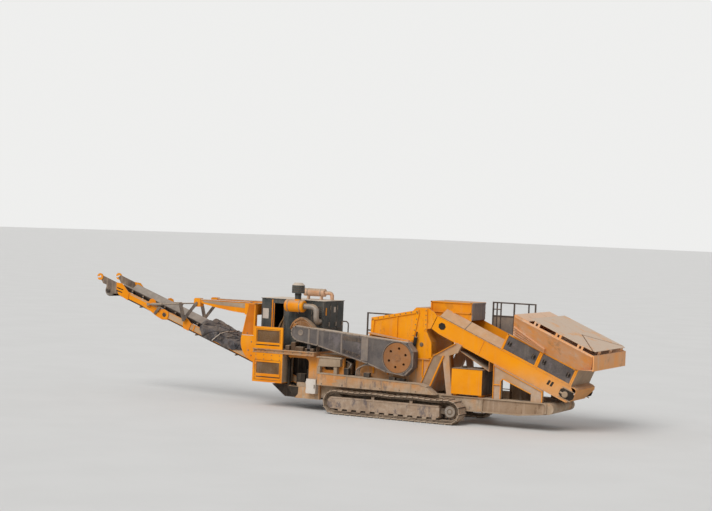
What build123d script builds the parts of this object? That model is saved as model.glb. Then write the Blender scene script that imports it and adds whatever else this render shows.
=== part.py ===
"""Tracked crushing plant: crusher housing, sloping feeder with a hopper, power pack and discharge conveyor.

Millimetres, +Z up, +X towards the hopper, -Y the near side. The origin is on the ground under the
middle of the plant's bounding box. Places along the plant are given as stations, counted from the
middle of the tracks, and at() turns a station into an x.
"""
import os
from math import acos, atan2, cos, degrees, hypot, pi, radians, sin

from build123d import *

# Place of the tracks in the plant
track_x = 2412.8

# Gap between pieces that seat on one another with round faces
seat = 0.3

# Tracks
track_length = 4250.0
track_height = 710.0
track_outer_y = 1450.0
shoe_width = 500.0
shoe_count = 50
shoe_thick = 16.0
shoe_gap = 10.0
grouser_foot = 26.0
grouser_tip = 20.0
grouser_height = 26.0
chain_thick = 70.0
chain_width = 190.0
track_sag = 22.0
wheel_gap = 2.0
track_left = -2190.0
track_frame_inset_left = 120.0
track_frame_inset_right = 660.0
track_frame_low = 160.0
track_frame_high = 500.0
track_frame_outer_y = 1330.0
track_frame_wall = 16.0
roller_count = 9
roller_radius = 75.0
hub_radius = 150.0
sprocket_teeth = 11
carrier_radius = 44.0

# Chassis
beam_inner_y = 620.0
beam_outer_y = 900.0
beam_low = 380.0
beam_high = 780.0
beam_left = -3300.0
beam_right = 4400.0
beam_rise_x = 3570.0
beam_rise = 90.0
side_beam_outer_y = 1200.0
side_beam_low = 770.0
side_beam_high = 1110.0
side_beam_left = -2500.0
side_beam_right = 930.0
side_plate_outer_y = 1000.0

# Power deck and what stands on it
deck_left = -4600.0
deck_right = -2620.0
deck_low = 1580.0
deck_high = 1700.0
deck_y = 1250.0
canopy_left = -4640.0
canopy_right = -2600.0
canopy_near_y = -750.0
canopy_far_y = 550.0
canopy_high = 3140.0
canopy_wall = 40.0
roof_thick = 18.0
door_left = -4210.0
door_right = -3900.0
door_low = 1830.0
door_high = 3020.0

# Drive guard and pulley
guard_outer_y = 1170.0
guard_depth = 300.0
guard_sheet = 6.0
pulley_x = -20.0
pulley_z = 1720.0
pulley_radius = 425.0
pulley_gap = 9.0
pulley_thick = 130.0
shaft_radius = 70.0

# Crusher housing
housing_y = 800.0
split_z = 1725.0
flange_thick = 24.0

# Feeder and hopper, in the feeder's own slope: u down the slope, v square to it
feeder_station = 1140.0
feeder_z = 2640.0
feeder_slope = 23.0
feeder_y = 800.0
feeder_plate = 16.0
feeder_top_v = 252.0
feeder_low_v = -210.0
feeder_tail_u = 4100.0
skirt_inner_y = 500.0
skirt_top_v = 475.0
hopper_u = 1830.0
hopper_end_u = 4050.0
panel_top_v = 735.0
rim_v = 1400.0
rim_y = 1430.0
rim_u = 2010.0
rim_end_u = 4445.0
flap_thick = 14.0
flap_gap = 12.0
flap_mitre = 900.0
mitre_gap = 47.0
flap_lift = 95.0
hopper_front_u = 2430.0
skirt_u = -180.0
feeder_drum = 150.0
feeder_drum_v = 60.0
apron_x = 5790.0
apron_low = 1780.0
apron_high = 2195.0
hinge_rise = 87.0
hinge_radius = 12.0
hinge_length = 60.0

# Discharge conveyor, in its own slope: s up the slope towards the head, n square to it
conveyor_station = -8224.0
conveyor_z = 2360.0
conveyor_slope = 19.8
conveyor_y = 500.0
beam_low_n = 30.0
beam_high_n = 220.0
conveyor_flange = 60.0
belt_width = 800.0
belt_thick = 14.0
trough_n = 150.0
trough_y = 150.0
edge_n = 325.0
return_n = -20.0
drum_radius = 160.0
drum_n = -20.0
drum_s = 2130.0
tail_drum_s = -4740.0
tube_n = 90.0
tube_radius = 34.0
conveyor_tail_s = -5000.0
conveyor_head_s = 1760.0
conveyor_fold_gap = 14.0
ring_s = 2555.0
ring_n = 272.0
ring_radius = 105.0
ring_hole = 42.0

os.makedirs("parts", exist_ok=True)


def at(station):
    """x of a place given from the middle of the tracks."""
    return track_x + station


def side(y):
    """Upright plane along the plant at this y: x across, z up."""
    return Plane.XZ.offset(-y)


def points(*pairs):
    """Station and height pairs as points of an upright plane."""
    return [(at(x), z) for x, z in pairs]


def feeder_plane(y):
    """Upright plane at this y in the feeder's slope: u down the slope, v square to it."""
    a = radians(feeder_slope)
    return Plane(origin=(at(feeder_station), y, feeder_z), x_dir=(cos(a), 0, -sin(a)), z_dir=(0, -1, 0))


def feeder_flat(v):
    """Plane square to v in the feeder's slope: u down the slope, y across."""
    a = radians(feeder_slope)
    origin = (at(feeder_station) + v * sin(a), 0, feeder_z + v * cos(a))
    return Plane(origin=origin, x_dir=(cos(a), 0, -sin(a)), z_dir=(sin(a), 0, cos(a)))


def feeder_cross(u):
    """Plane across the feeder at this u: y across, v up."""
    a = radians(feeder_slope)
    origin = (at(feeder_station) + u * cos(a), 0, feeder_z - u * sin(a))
    return Plane(origin=origin, x_dir=(0, 1, 0), z_dir=(cos(a), 0, -sin(a)))


def conveyor_plane(y):
    """Upright plane at this y in the conveyor's slope: s runs down to the tail, n square to it."""
    a = radians(conveyor_slope)
    return Plane(origin=(at(conveyor_station), y, conveyor_z), x_dir=(cos(a), 0, -sin(a)), z_dir=(0, -1, 0))


def conveyor_cross(s):
    """Plane across the conveyor at this place: y across, n up."""
    a = radians(conveyor_slope)
    origin = (at(conveyor_station) - s * cos(a), 0, conveyor_z + s * sin(a))
    return Plane(origin=origin, x_dir=(0, 1, 0), z_dir=(cos(a), 0, -sin(a)))


def write(part, name):
    """Writes one finished piece."""
    part.part.label = name
    export_step(part.part, f"parts/{name}.step")


def slab(plane_at, outline, y_from, y_to):
    """Flat piece between two y values, cut to an outline."""
    low, high = min(y_from, y_to), max(y_from, y_to)
    with BuildSketch(plane_at(high)) as face:
        with BuildLine():
            Polyline(*outline, close=True)
        make_face()
    extrude(face.sketch, amount=high - low)


def box_between(x0, x1, y0, y1, z0, z1, mode=Mode.ADD):
    """Box between two corners, x as stations."""
    with Locations((at((x0 + x1) / 2), (y0 + y1) / 2, (z0 + z1) / 2)):
        Box(abs(x1 - x0), abs(y1 - y0), abs(z1 - z0), mode=mode)


def rod(start, end, radius, mode=Mode.ADD):
    """Round bar between two points."""
    way = Vector(*end) - Vector(*start)
    with BuildSketch(Plane(origin=start, z_dir=way.normalized())) as end_face:
        Circle(radius)
    extrude(end_face.sketch, amount=way.length, mode=mode)


def inset(outline, depth):
    """Outline moved inwards by this depth, for corners that run clockwise."""
    moved = []
    for n, (x, z) in enumerate(outline):
        before, after = outline[n - 1], outline[(n + 1) % len(outline)]
        a = atan2(z - before[1], x - before[0])
        b = atan2(after[1] - z, after[0] - x)
        middle = (a + b) / 2 if abs(a - b) < pi else (a + b) / 2 + pi
        reach = depth / cos(middle - a)
        moved.append((x - reach * sin(middle), z + reach * cos(middle)))
    return moved


def hands(name, make):
    """Builds the near piece and its mirror on the far side, each in a file of its own."""
    for word, sign in (("near", -1), ("far", 1)):
        write(make(sign), f"{name}_{word}")


def pair(name, *makes):
    """Builds the near pieces and their mirrors on the far side in one file."""
    solids = [make(sign).part for make in makes for sign in (-1, 1)]
    with BuildPart() as pieces:
        add(solids)
    write(pieces, name)


# Tracks
loop_radius = track_height / 2 - grouser_height - shoe_thick
half_run = track_length / 2 - track_height / 2
idler_x = track_left + track_height / 2
sprocket_x = idler_x + 2 * half_run
wheel_z = track_height / 2
loop_length = 4 * half_run + 2 * pi * loop_radius
pitch = loop_length / shoe_count
wheel_radius = (loop_radius - chain_thick) * cos(pitch / 2 / loop_radius) - wheel_gap
track_frame_left = track_left + track_frame_inset_left
track_frame_right = track_left + track_length - track_frame_inset_right
frame_inner_y = 2 * track_outer_y - shoe_width - track_frame_outer_y
carrier_z = wheel_z + loop_radius - chain_thick - carrier_radius - 4.0


def track_middle(sign):
    """Middle y of one track."""
    return sign * (track_outer_y - shoe_width / 2)


def loop_point(distance):
    """Point and heading on the seat of the shoes, this far round the loop from the idler's foot."""
    run, turn = 2 * half_run, pi * loop_radius
    if distance < run:
        return idler_x + distance, wheel_z - loop_radius, 0.0
    distance -= run
    if distance < turn:
        angle = distance / loop_radius
        return sprocket_x + loop_radius * sin(angle), wheel_z - loop_radius * cos(angle), degrees(angle)
    distance -= turn
    if distance < run:
        third = run / 3
        part_way = (distance % third) / third
        sag = track_sag * sin(pi * part_way) ** 2
        return sprocket_x - distance, wheel_z + loop_radius - sag, 180.0
    angle = (distance - run) / loop_radius
    return idler_x - loop_radius * sin(angle), wheel_z + loop_radius * cos(angle), 180.0 + degrees(angle)


def loop_corners(inset):
    """Corners of the chain at this depth inside the seat of the shoes."""
    corners = []
    for n in range(shoe_count):
        x, z, heading = loop_point(n * pitch)
        a = radians(heading)
        corners.append((at(x) - inset * sin(a), z + inset * cos(a)))
    return corners


def track_chain(sign):
    """One loop of links with a grouser shoe on every link."""
    outer = sign * track_outer_y
    inner = sign * (track_outer_y - shoe_width)
    with BuildPart() as chain:
        with BuildSketch(side(track_middle(sign) + chain_width / 2)):
            with BuildLine():
                Polyline(*loop_corners(-1.0), close=True)
            make_face()
            with BuildLine():
                Polyline(*loop_corners(chain_thick), close=True)
            make_face(mode=Mode.SUBTRACT)
        extrude(amount=chain_width)
        half = pitch / 2 - shoe_gap / 2
        with BuildSketch(side(max(outer, inner))):
            for n in range(shoe_count):
                (x0, z0), (x1, z1) = loop_corners(0.0)[n], loop_corners(0.0)[(n + 1) % shoe_count]
                lie = Location(((x0 + x1) / 2, (z0 + z1) / 2), degrees(atan2(z1 - z0, x1 - x0)))
                with Locations(lie):
                    with BuildLine(mode=Mode.PRIVATE) as shoe:
                        Polyline((-half, 1.0), (half, 1.0), (half, -shoe_thick),
                                 (grouser_foot - half, -shoe_thick),
                                 (grouser_tip - half, -shoe_thick - grouser_height),
                                 (-half, -shoe_thick - grouser_height), close=True)
                    add(make_face(shoe.edges(), mode=Mode.PRIVATE))
        extrude(amount=shoe_width)
    return chain


def wheel(x, y_mid, z, radius, width, hub, hub_width):
    """Wheel with a smaller, longer hub."""
    for size, depth in ((radius, width), (hub, hub_width)):
        with BuildSketch(side(y_mid + depth / 2)) as disc:
            with Locations((at(x), z)):
                Circle(size)
        extrude(disc.sketch, amount=depth)


def track_frame(sign):
    """Channel beam over the rollers: two side plates, a top plate, an end plate and carrier ears."""
    outer, inner = sign * track_frame_outer_y, sign * frame_inner_y
    wall = track_frame_wall
    left, right, low, high = track_frame_left, track_frame_right, track_frame_low, track_frame_high
    outline = points((left + 90, low), (right, low), (right, high), (left + 90, high), (left, high - 110),
                     (left, low + 90))
    with BuildPart() as frame:
        slab(side, outline, outer, inner)
        box_between(left - 50, right - wall, inner + sign * wall, outer - sign * wall, low - 10, high - wall,
                    mode=Mode.SUBTRACT)
        box_between(left - 50, idler_x + wheel_radius + 60, inner + sign * wall, outer - sign * wall,
                    low, high + 10, mode=Mode.SUBTRACT)
        for n in (1, 2):
            x = idler_x + n * 2 * half_run / 3
            for y in (-1, 1):
                ear = track_middle(sign) + y * (chain_width / 2 + 14)
                box_between(x - 45, x + 45, ear - 8, ear + 8, high, carrier_z + 20)
    return frame


def track_wheels(sign):
    """Idler, bottom rollers and carrier rollers, each on a pin between plates."""
    middle = track_middle(sign)
    hub_width = abs(track_frame_outer_y - frame_inner_y) - 2 * track_frame_wall - 2 * seat
    low_roller_z = wheel_z - loop_radius + chain_thick + roller_radius + seat
    with BuildPart() as wheels:
        wheel(idler_x, middle, wheel_z, wheel_radius, 90.0, 60.0, hub_width)
        for n in range(roller_count):
            first, last = idler_x + wheel_radius + 90.0, track_frame_right - 110.0
            x = first + n * (last - first) / (roller_count - 1)
            wheel(x, middle, low_roller_z, roller_radius, chain_width, 30.0, hub_width)
        for n in (1, 2):
            x = idler_x + n * 2 * half_run / 3
            wheel(x, middle, carrier_z, carrier_radius, chain_width - 40, 16.0, chain_width + 12 - 2 * seat)
    return wheels


def sprocket(sign):
    """Toothed drive wheel on its motor hub, bolted to the end of the track frame."""
    middle = track_middle(sign)
    tooth_root = wheel_radius - 36.0
    hub_y = sign * (track_frame_outer_y - 40.0)
    cap_y = sign * (track_frame_outer_y - 10.0)
    with BuildPart() as drive:
        with BuildSketch(side(middle + 40.0)):
            with Locations((at(sprocket_x), wheel_z)):
                Circle(tooth_root)
                with PolarLocations(tooth_root - 4, sprocket_teeth):
                    with Locations((18.0, 0.0)):
                        Trapezoid(60.0, 40.0, 72.0, rotation=-90)
        extrude(amount=80.0)
        for y0, y1, radius in ((middle, hub_y, hub_radius), (hub_y, cap_y, hub_radius * 0.6)):
            with BuildSketch(side(max(y0, y1))):
                with Locations((at(sprocket_x), wheel_z)):
                    Circle(radius)
            extrude(amount=abs(y1 - y0))
        box_between(track_frame_right, sprocket_x, middle - 60, middle + 60, wheel_z - 70, wheel_z + 70)
    return drive


hands("track_chain", track_chain)
pair("track_frames", track_frame)
pair("track_wheels", track_wheels, sprocket)


# Chassis: two box beams with cross tubes, a round end, and the beams over the tracks
def chassis_side(sign):
    """Main beam with the shorter, deeper beam over the track beside it."""
    with BuildPart() as beam:
        slab(side, points((beam_left, beam_low), (beam_rise_x, beam_low), (beam_right, beam_low + beam_rise),
                          (beam_right, beam_high), (beam_left, beam_high)),
             sign * beam_inner_y, sign * beam_outer_y)
        slab(side, points((side_beam_left, side_beam_low), (side_beam_right + 260, side_beam_low),
                          (side_beam_right, side_beam_high - 150), (700, side_beam_high - 80),
                          (side_beam_left, side_beam_high)),
             sign * beam_outer_y, sign * side_beam_outer_y)
    return beam


chassis_sides = [chassis_side(sign).part for sign in (-1, 1)]
end_z = (beam_low + beam_rise + beam_high) / 2
with BuildPart() as chassis_frame:
    add(chassis_sides)
    for x in (beam_left + 60, -2100, -100, 2300, 3500):
        box_between(x - 60, x + 60, -beam_inner_y, beam_inner_y, beam_low + 60, beam_high - 60)
    for x in (-1150, 950):
        box_between(x - 140, x + 140, -frame_inner_y, frame_inner_y, 230, beam_low + 50)
    rod((at(beam_right), -beam_outer_y, end_z), (at(beam_right), beam_outer_y, end_z), beam_high - end_z)
write(chassis_frame, "chassis_frame")


def side_plate(sign):
    """Plate that carries the power deck, with a round-cornered window and a slot."""
    y_high = max(sign * beam_outer_y, sign * side_plate_outer_y)
    depth = side_plate_outer_y - beam_outer_y
    with BuildPart() as panel:
        slab(side, points((-3550, 640), (-3300, 330), (side_beam_left, 330),
                          (side_beam_left, side_beam_high),
                          (-1750, side_beam_high), (-1750, deck_low), (-3550, deck_low)),
             sign * beam_outer_y, sign * side_plate_outer_y)
        with BuildSketch(side(y_high)):
            with BuildLine():
                FilletPolyline((at(-3500), 1490), (at(-3500), 660), (at(-2880), 660), (at(-2880), 1490),
                               radius=(40, 40, 40, 130), close=True)
            make_face()
            with Locations((at(-2170), 1290)):
                SlotOverall(420, 150)
        extrude(amount=depth, mode=Mode.SUBTRACT)
    return panel


pair("side_plates", side_plate)

# Power deck: floor with edge channels, and a narrow tongue beside the crusher
with BuildPart() as power_deck:
    box_between(deck_left, deck_right, -deck_y, deck_y, deck_low, deck_high)
    box_between(deck_right, -1520, -860, 860, deck_low, deck_high - 60)
    for sign in (-1, 1):
        box_between(deck_left + 30, deck_right - 30, sign * (deck_y - 25), sign * deck_y,
                    deck_low + 22, deck_high - 22, mode=Mode.SUBTRACT)
write(power_deck, "power_deck")

# Canopy: walls and roof round the engine, open at the doorway
with BuildPart() as canopy:
    box_between(canopy_left, canopy_right, canopy_near_y, canopy_far_y, deck_high, canopy_high)
    box_between(canopy_left + canopy_wall, canopy_right - canopy_wall, canopy_near_y + canopy_wall,
                canopy_far_y - canopy_wall, deck_high, canopy_high - canopy_wall, mode=Mode.SUBTRACT)
    box_between(door_left, door_right, canopy_near_y, canopy_near_y + canopy_wall, door_low, door_high,
                mode=Mode.SUBTRACT)
    box_between(canopy_left - 20, canopy_right + 20, canopy_near_y - 20, canopy_far_y + 20,
                canopy_high, canopy_high + roof_thick)
write(canopy, "canopy")

with BuildPart() as engine:
    box_between(-3800, -2800, -420, 260, deck_high, deck_high + 650)
    box_between(-3600, -2950, -300, 140, deck_high + 650, deck_high + 950)
    box_between(-2780, -2700, -560, 400, deck_high, deck_high + 1000)
    box_between(-2810, -2770, -100, 100, deck_high + 100, deck_high + 500)
write(engine, "engine")

# Air cleaner, its rain cap and outlet elbow, and the silencer with its tail pipe
cleaner_y = -1000.0
cleaner_z = 2990.0
cleaner_radius = 178.0
cap_x = -3320.0
with BuildPart() as air_cleaner:
    with BuildSketch(Plane.YZ.offset(at(-3700))):
        with Locations((cleaner_y, cleaner_z)):
            Circle(cleaner_radius)
    extrude(amount=600)
    fillet(air_cleaner.edges().filter_by(GeomType.CIRCLE), 40)
    box_between(-3560, -3220, cleaner_y, canopy_near_y, cleaner_z - 60, cleaner_z + 60)
    with BuildSketch(Plane.XY.offset(cleaner_z)):
        with Locations((at(cap_x), cleaner_y)):
            Circle(100)
    extrude(amount=cleaner_radius + 20)
write(air_cleaner, "air_cleaner")

with BuildPart() as rain_cap:
    with BuildSketch(Plane.XY.offset(cleaner_z + cleaner_radius + 20)):
        with Locations((at(cap_x), cleaner_y)):
            Circle(92)
    extrude(amount=180)
    with BuildSketch(Plane.XY.offset(3360)):
        with Locations((at(cap_x), cleaner_y)):
            Circle(185)
    extrude(amount=300)
    chamfer(rain_cap.faces().sort_by(Axis.Z)[-1].edges(), 70)
write(rain_cap, "rain_cap")

with BuildPart() as intake_pipe:
    with BuildLine() as bend:
        FilletPolyline((at(-3100), cleaner_y, cleaner_z), (at(-2710), cleaner_y, cleaner_z),
                       (at(-2710), cleaner_y, 2560), (at(-2710), canopy_near_y - seat, 2560), radius=150)
    with BuildSketch(Plane(origin=bend.line @ 0, z_dir=bend.line % 0)):
        Circle(80)
    sweep()
write(intake_pipe, "intake_pipe")

silencer_z = 3368.0
with BuildPart() as exhaust:
    rod((at(-3620), 0, silencer_z), (at(-2950), 0, silencer_z), 115)
    for x in (-3500, -3070):
        box_between(x - 25, x + 25, -60, 60, canopy_high + roof_thick, silencer_z)
    with BuildLine() as tail_line:
        FilletPolyline((at(-2960), 0, silencer_z), (at(-2720), 0, silencer_z),
                       (at(-2720), 0, canopy_high + 2 * roof_thick),
                       radius=90)
    with BuildSketch(Plane(origin=tail_line.line @ 0, z_dir=tail_line.line % 0)):
        Circle(55)
    sweep()
write(exhaust, "exhaust")


def screen(left, right, low, high, y, bar, foot, depth):
    """Flat frame of a screen, with a deeper bar at its foot."""
    box_between(left, right, y, y + depth, low, high)
    box_between(left + bar, right - bar, y, y + depth, low + foot, high - bar, mode=Mode.SUBTRACT)


def knuckle(x, y, low, height, radius):
    """Upright hinge barrel."""
    rod((at(x), y, low), (at(x), y, low + height), radius)


# Screens at the corner of the deck
with BuildPart() as upper_screen:
    screen(-4590, -3640, deck_high, 2340, -deck_y, 100, 190, 50)
write(upper_screen, "upper_screen")

box_left, box_right, box_low = -4600.0, -3620.0, 730.0
door_hinges = (box_low + 130, deck_low - 350)
hinge_x, hinge_y = box_left + 66, -deck_y - 14
with BuildPart() as screen_box:
    box_between(box_left, box_right, -deck_y, -560, box_low, deck_low)
    box_between(box_left + 60, box_right - 40, -deck_y, -600, box_low + 60, deck_low - 210,
                mode=Mode.SUBTRACT)
    box_between(box_left + 25, box_right - 15, 40 - deck_y, -575, box_low + 30, deck_low - 180,
                mode=Mode.SUBTRACT)
    for z in door_hinges:
        knuckle(hinge_x, hinge_y, z - 40 - seat, 40, 12)
        box_between(box_left + 10, hinge_x, hinge_y + 8, -deck_y, z - 40 - seat, z - seat)
write(screen_box, "screen_box")

with BuildPart() as screen_door:
    screen(box_left + 70, box_right - 50, box_low + 70, deck_low - 220, -deck_y, 50, 180, 40)
    for z in door_hinges:
        knuckle(hinge_x, hinge_y, z, 60, 12)
        box_between(hinge_x, hinge_x + 60, hinge_y + 8, -deck_y, z, z + 60)
write(screen_door, "screen_door")

# Control box on the near side plate
control_left, control_right, control_low, control_high = -2850.0, -2540.0, 505.0, 925.0
control_face = -side_plate_outer_y - 170.0
control_hinges = (control_low + 70, control_high - 110)
control_hinge_x, control_hinge_y = control_left - 9, control_face - 15
with BuildPart() as control_box:
    box_between(control_left, control_right, control_face, -side_plate_outer_y, control_low, control_high)
    box_between(control_left + 15, control_right - 15, control_face, -side_plate_outer_y - 20,
                control_low + 15, control_high - 15, mode=Mode.SUBTRACT)
    for z in control_hinges:
        low = z - 30 - seat
        knuckle(control_hinge_x, control_hinge_y, low, 30, 8)
        box_between(control_left - 17, control_left - 6, control_hinge_y, control_face + 15, low, low + 30)
        box_between(control_left - 17, control_left, control_face + 2, control_face + 15, low, low + 30)
write(control_box, "control_box")

with BuildPart() as control_box_door:
    box_between(control_left, control_right, control_face - 24, control_face - 6, control_low, control_high)
    fillet(control_box_door.edges().filter_by(Axis.Y), 14)
    middle_z = (control_low + control_high) / 2
    box_between(control_right - 55, control_right - 30, control_face - 42, control_face - 20,
                middle_z - 35, middle_z + 35)
    for z in control_hinges:
        knuckle(control_hinge_x, control_hinge_y, z, 40, 8)
        box_between(control_hinge_x, control_left + 5, control_face - 20, control_face - 10, z, z + 40)
write(control_box_door, "control_box_door")


link_low = (-7400.0, 2330.0)
link_high = (-6990.0, 2830.0)
lever_top = (-7524.0, 2791.0)
lug = (-8710.0, 2724.0)
link_y = 620.0
arm_outer_y = 590.0
bracket_thick = 22.0
ram_thick = 50.0
ram_y = conveyor_y + 37.0 + ram_thick / 2


# Gantry that the conveyor hangs from: curved side plates, a cross box and two tapering arms
def mast(sign):
    """Side plate of the mast with its curved outer edge."""
    outer, inner = sign * 1010.0, sign * 900.0
    with BuildPart() as leg:
        with BuildSketch(side(max(outer, inner))):
            with BuildLine():
                Polyline((at(-4700), 1260), (at(-4700), 2985), (at(-4930), 2985), (at(-5140), 2040))
                ThreePointArc((at(-5140), 2040), (at(-5100), 1580), (at(-4700), 1260))
            make_face()
        extrude(amount=abs(outer - inner))
        box_between(-4700, deck_left, inner, outer, 1600, deck_high - 10)
    return leg


def arm(sign):
    """Tapering arm with a forked end."""
    with BuildPart() as beam:
        slab(side, points((-6930, 2965), (-6820, 2860), (-6340, 2765), (-5740, 2680), (-5130, 2630),
                          (-5130, 2975)),
             sign * 560, sign * 440)
        with BuildSketch(side(max(sign * arm_outer_y, sign * (arm_outer_y - 180)))):
            with Locations((at(-6960), 2880)):
                RectangleRounded(230, 260, 50)
        extrude(amount=180)
    return beam


gantry_sides = [make(sign).part for make in (mast, arm) for sign in (-1, 1)]
with BuildPart() as gantry:
    add(gantry_sides)
    box_between(-5130, -4790, -900, 900, 2630, 2960)
write(gantry, "gantry")


def bar_between(start, end, y, width, thick):
    """Flat link with round ends between two station and height points."""
    (x0, z0), (x1, z1) = start, end
    way = Vector(x1 - x0, z1 - z0)
    with BuildSketch(side(y + thick / 2)) as flat:
        with Locations(Location((at((x0 + x1) / 2), (z0 + z1) / 2), degrees(atan2(way.Y, way.X)))):
            SlotOverall(way.length + width, width)
    extrude(flat.sketch, amount=thick)


def hanger(sign):
    """Hanging link and ram lever beside the conveyor, on one bracket pin."""
    y = sign * link_y
    with BuildPart() as link:
        bar_between(link_low, link_high, y, 90, 28)
        bar_between(link_low, lever_top, y, 110, 28)
        for (x, z), reach in ((link_low, conveyor_y + bracket_thick), (link_high, arm_outer_y),
                              (lever_top, ram_y + ram_thick / 2)):
            rod((at(x), y, z), (at(x), sign * reach, z), 24)
    return link


def fold_ram(sign):
    """Locked ram from the lever's top to the lug on the head section."""
    y = sign * ram_y
    (x0, z0), (x1, z1) = lug, lever_top
    places = [(at(x0 + k * (x1 - x0)), y, z0 + k * (z1 - z0)) for k in (0.0, 0.11, 0.42, 1.0)]
    with BuildPart() as ram:
        for x, z in (lug, lever_top):
            bar_between((x - 10, z), (x + 10, z), y, 84, ram_thick)
        for start, end, radius in zip(places, places[1:], (24, 42, 22)):
            rod(start, end, radius)
    return ram


pair("hanger_links", hanger)


# Discharge conveyor
def s_points(*pairs):
    """Points with s up the slope towards the head, so x of the plane is minus s."""
    return [(-s, n) for s, n in pairs]


def conveyor_beams(s_from, s_to):
    """Channel side beams between two places on the slope."""
    for sign in (-1, 1):
        slab(conveyor_plane, s_points((s_from, beam_low_n), (s_to, beam_low_n), (s_to, beam_high_n),
                                      (s_from, beam_high_n)),
             sign * conveyor_y, sign * (conveyor_y - 12))
        for low in (beam_low_n, beam_high_n - 12):
            slab(conveyor_plane, s_points((s_from, low), (s_to, low), (s_to, low + 12), (s_from, low + 12)),
                 sign * conveyor_y, sign * (conveyor_y - conveyor_flange))


def cross_tube(s, n, radius):
    """Round tube between the side beams."""
    with BuildSketch(conveyor_plane(conveyor_y - 6)) as ring:
        with Locations((-s, n)):
            Circle(radius)
    extrude(ring.sketch, amount=2 * conveyor_y - 12)


def conveyor_half(sign):
    """Bracket and hinge ears on one side of the tail section."""
    with BuildPart() as ears:
        slab(conveyor_plane, s_points((-1010, -20), (-810, -20), (-750, 120), (-730, 300), (-840, 310),
                                      (-1030, beam_high_n)),
             sign * (conveyor_y + bracket_thick), sign * conveyor_y)
        slab(conveyor_plane, s_points((-180, 40), (60, 40), (130, 120), (110, 200), (20, 250), (-150, 230)),
             sign * (conveyor_y + 14), sign * conveyor_y)
        with BuildSketch(conveyor_plane(max(sign * (conveyor_y + 45), sign * conveyor_y))):
            with Locations((-50, 138)):
                Circle(52)
        extrude(amount=45)
    return ears


def conveyor_head_half(sign):
    """Bearing bracket, open ring at the tip and ram lug on one side of the head section."""
    outer = sign * conveyor_y
    with BuildPart() as ears:
        slab(conveyor_plane, s_points((1350, -18), (1724, 17), (1860, 145), (1934, 335), (1729, 387),
                                      (1387, 215)),
             outer + sign * 20, outer)
        with BuildSketch(conveyor_plane(max(outer, outer + sign * 30))):
            with Locations((-ring_s, ring_n)):
                Circle(ring_radius)
                Circle(ring_hole, mode=Mode.SUBTRACT)
                with Locations(Location((0, 0), -150)):
                    with Locations((ring_radius / 2, 0)):
                        Rectangle(ring_radius, ring_hole, mode=Mode.SUBTRACT)
        extrude(amount=30)
        slab(conveyor_plane, s_points((510, 110), (650, 110), (650, 240), (510, 240)),
             sign * (ram_y - ram_thick / 2), outer)
    return ears


def conveyor_skirt(sign):
    """Side plate past the end of the beams, with the arm that carries the head drum."""
    outer = sign * conveyor_y
    with BuildPart() as plate:
        slab(conveyor_plane, s_points((1770, 20), (2060, -80), (2200, -80), (2260, 123), (2397, 115),
                                      (2560, 240),
                                      (2487, 337), (1934, 335), (1860, 240), (1770, 230)),
             outer, outer - sign * 12)
    return plate


pair("conveyor_skirts", conveyor_skirt)
tail_ears = [conveyor_half(sign).part for sign in (-1, 1)]
with BuildPart() as conveyor_tail_frame:
    add(tail_ears)
    conveyor_beams(conveyor_tail_s, -conveyor_fold_gap / 2)
    for n in range(4):
        cross_tube(-4300 + n * 1200, tube_n, tube_radius)
write(conveyor_tail_frame, "conveyor_tail_frame")

head_ears = [conveyor_head_half(sign).part for sign in (-1, 1)]
with BuildPart() as conveyor_head_frame:
    add(head_ears)
    conveyor_beams(conveyor_fold_gap / 2, conveyor_head_s)
    for s in (300, 1300):
        cross_tube(s, tube_n, tube_radius)
write(conveyor_head_frame, "conveyor_head_frame")

# Belt: one loop round the drums, troughed along its top run
run_from, run_to = tail_drum_s + 360, drum_s - 380
wrap = drum_radius + seat


def leaving(radius, reach, rise):
    """Where the return run leaves a drum, from its middle, for a run starting at this reach and rise."""
    turn = atan2(rise, reach) - acos(radius / hypot(reach, rise))
    return radius * cos(turn), radius * sin(turn)


with BuildPart() as conveyor_belt:
    for s, away, end in ((drum_s, 1, run_to), (tail_drum_s, -1, run_from)):
        inner_x, inner_n = leaving(wrap, abs(s - end), return_n - drum_n)
        outer_x, outer_n = leaving(wrap + belt_thick, abs(s - end), return_n - belt_thick - drum_n)
        inner_foot = (away * inner_x - s, drum_n + inner_n)
        outer_foot = (away * outer_x - s, drum_n + outer_n)
        with BuildSketch(conveyor_plane(belt_width / 2)):
            with BuildLine():
                Polyline((-s, drum_n + wrap), (-end, trough_n), (-end, trough_n + belt_thick),
                         (-s, drum_n + wrap + belt_thick))
                ThreePointArc((-s, drum_n + wrap + belt_thick), (-s - away * (wrap + belt_thick), drum_n),
                              outer_foot)
                Polyline(outer_foot, (-end, return_n - belt_thick), (-end, return_n), inner_foot)
                ThreePointArc(inner_foot, (-s - away * wrap, drum_n), (-s, drum_n + wrap))
            make_face()
        extrude(amount=belt_width)
    slab(conveyor_plane, s_points((run_from, return_n - belt_thick), (run_to, return_n - belt_thick),
                                  (run_to, return_n), (run_from, return_n)), -belt_width / 2, belt_width / 2)
    with BuildSketch(conveyor_cross(run_to)):
        with BuildLine():
            Polyline((-belt_width / 2, edge_n), (-trough_y, trough_n), (trough_y, trough_n),
                     (belt_width / 2, edge_n),
                     (belt_width / 2, edge_n + belt_thick), (trough_y, trough_n + belt_thick),
                     (-trough_y, trough_n + belt_thick), (-belt_width / 2, edge_n + belt_thick), close=True)
        make_face()
    extrude(amount=run_to - run_from)
write(conveyor_belt, "conveyor_belt")

with BuildPart() as conveyor_drums:
    for s in (drum_s, tail_drum_s):
        for radius, reach in ((drum_radius, belt_width / 2), (35, conveyor_y - 12 - seat)):
            with BuildSketch(conveyor_plane(reach)):
                with Locations((-s, drum_n)):
                    Circle(radius)
            extrude(amount=2 * reach)

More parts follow.
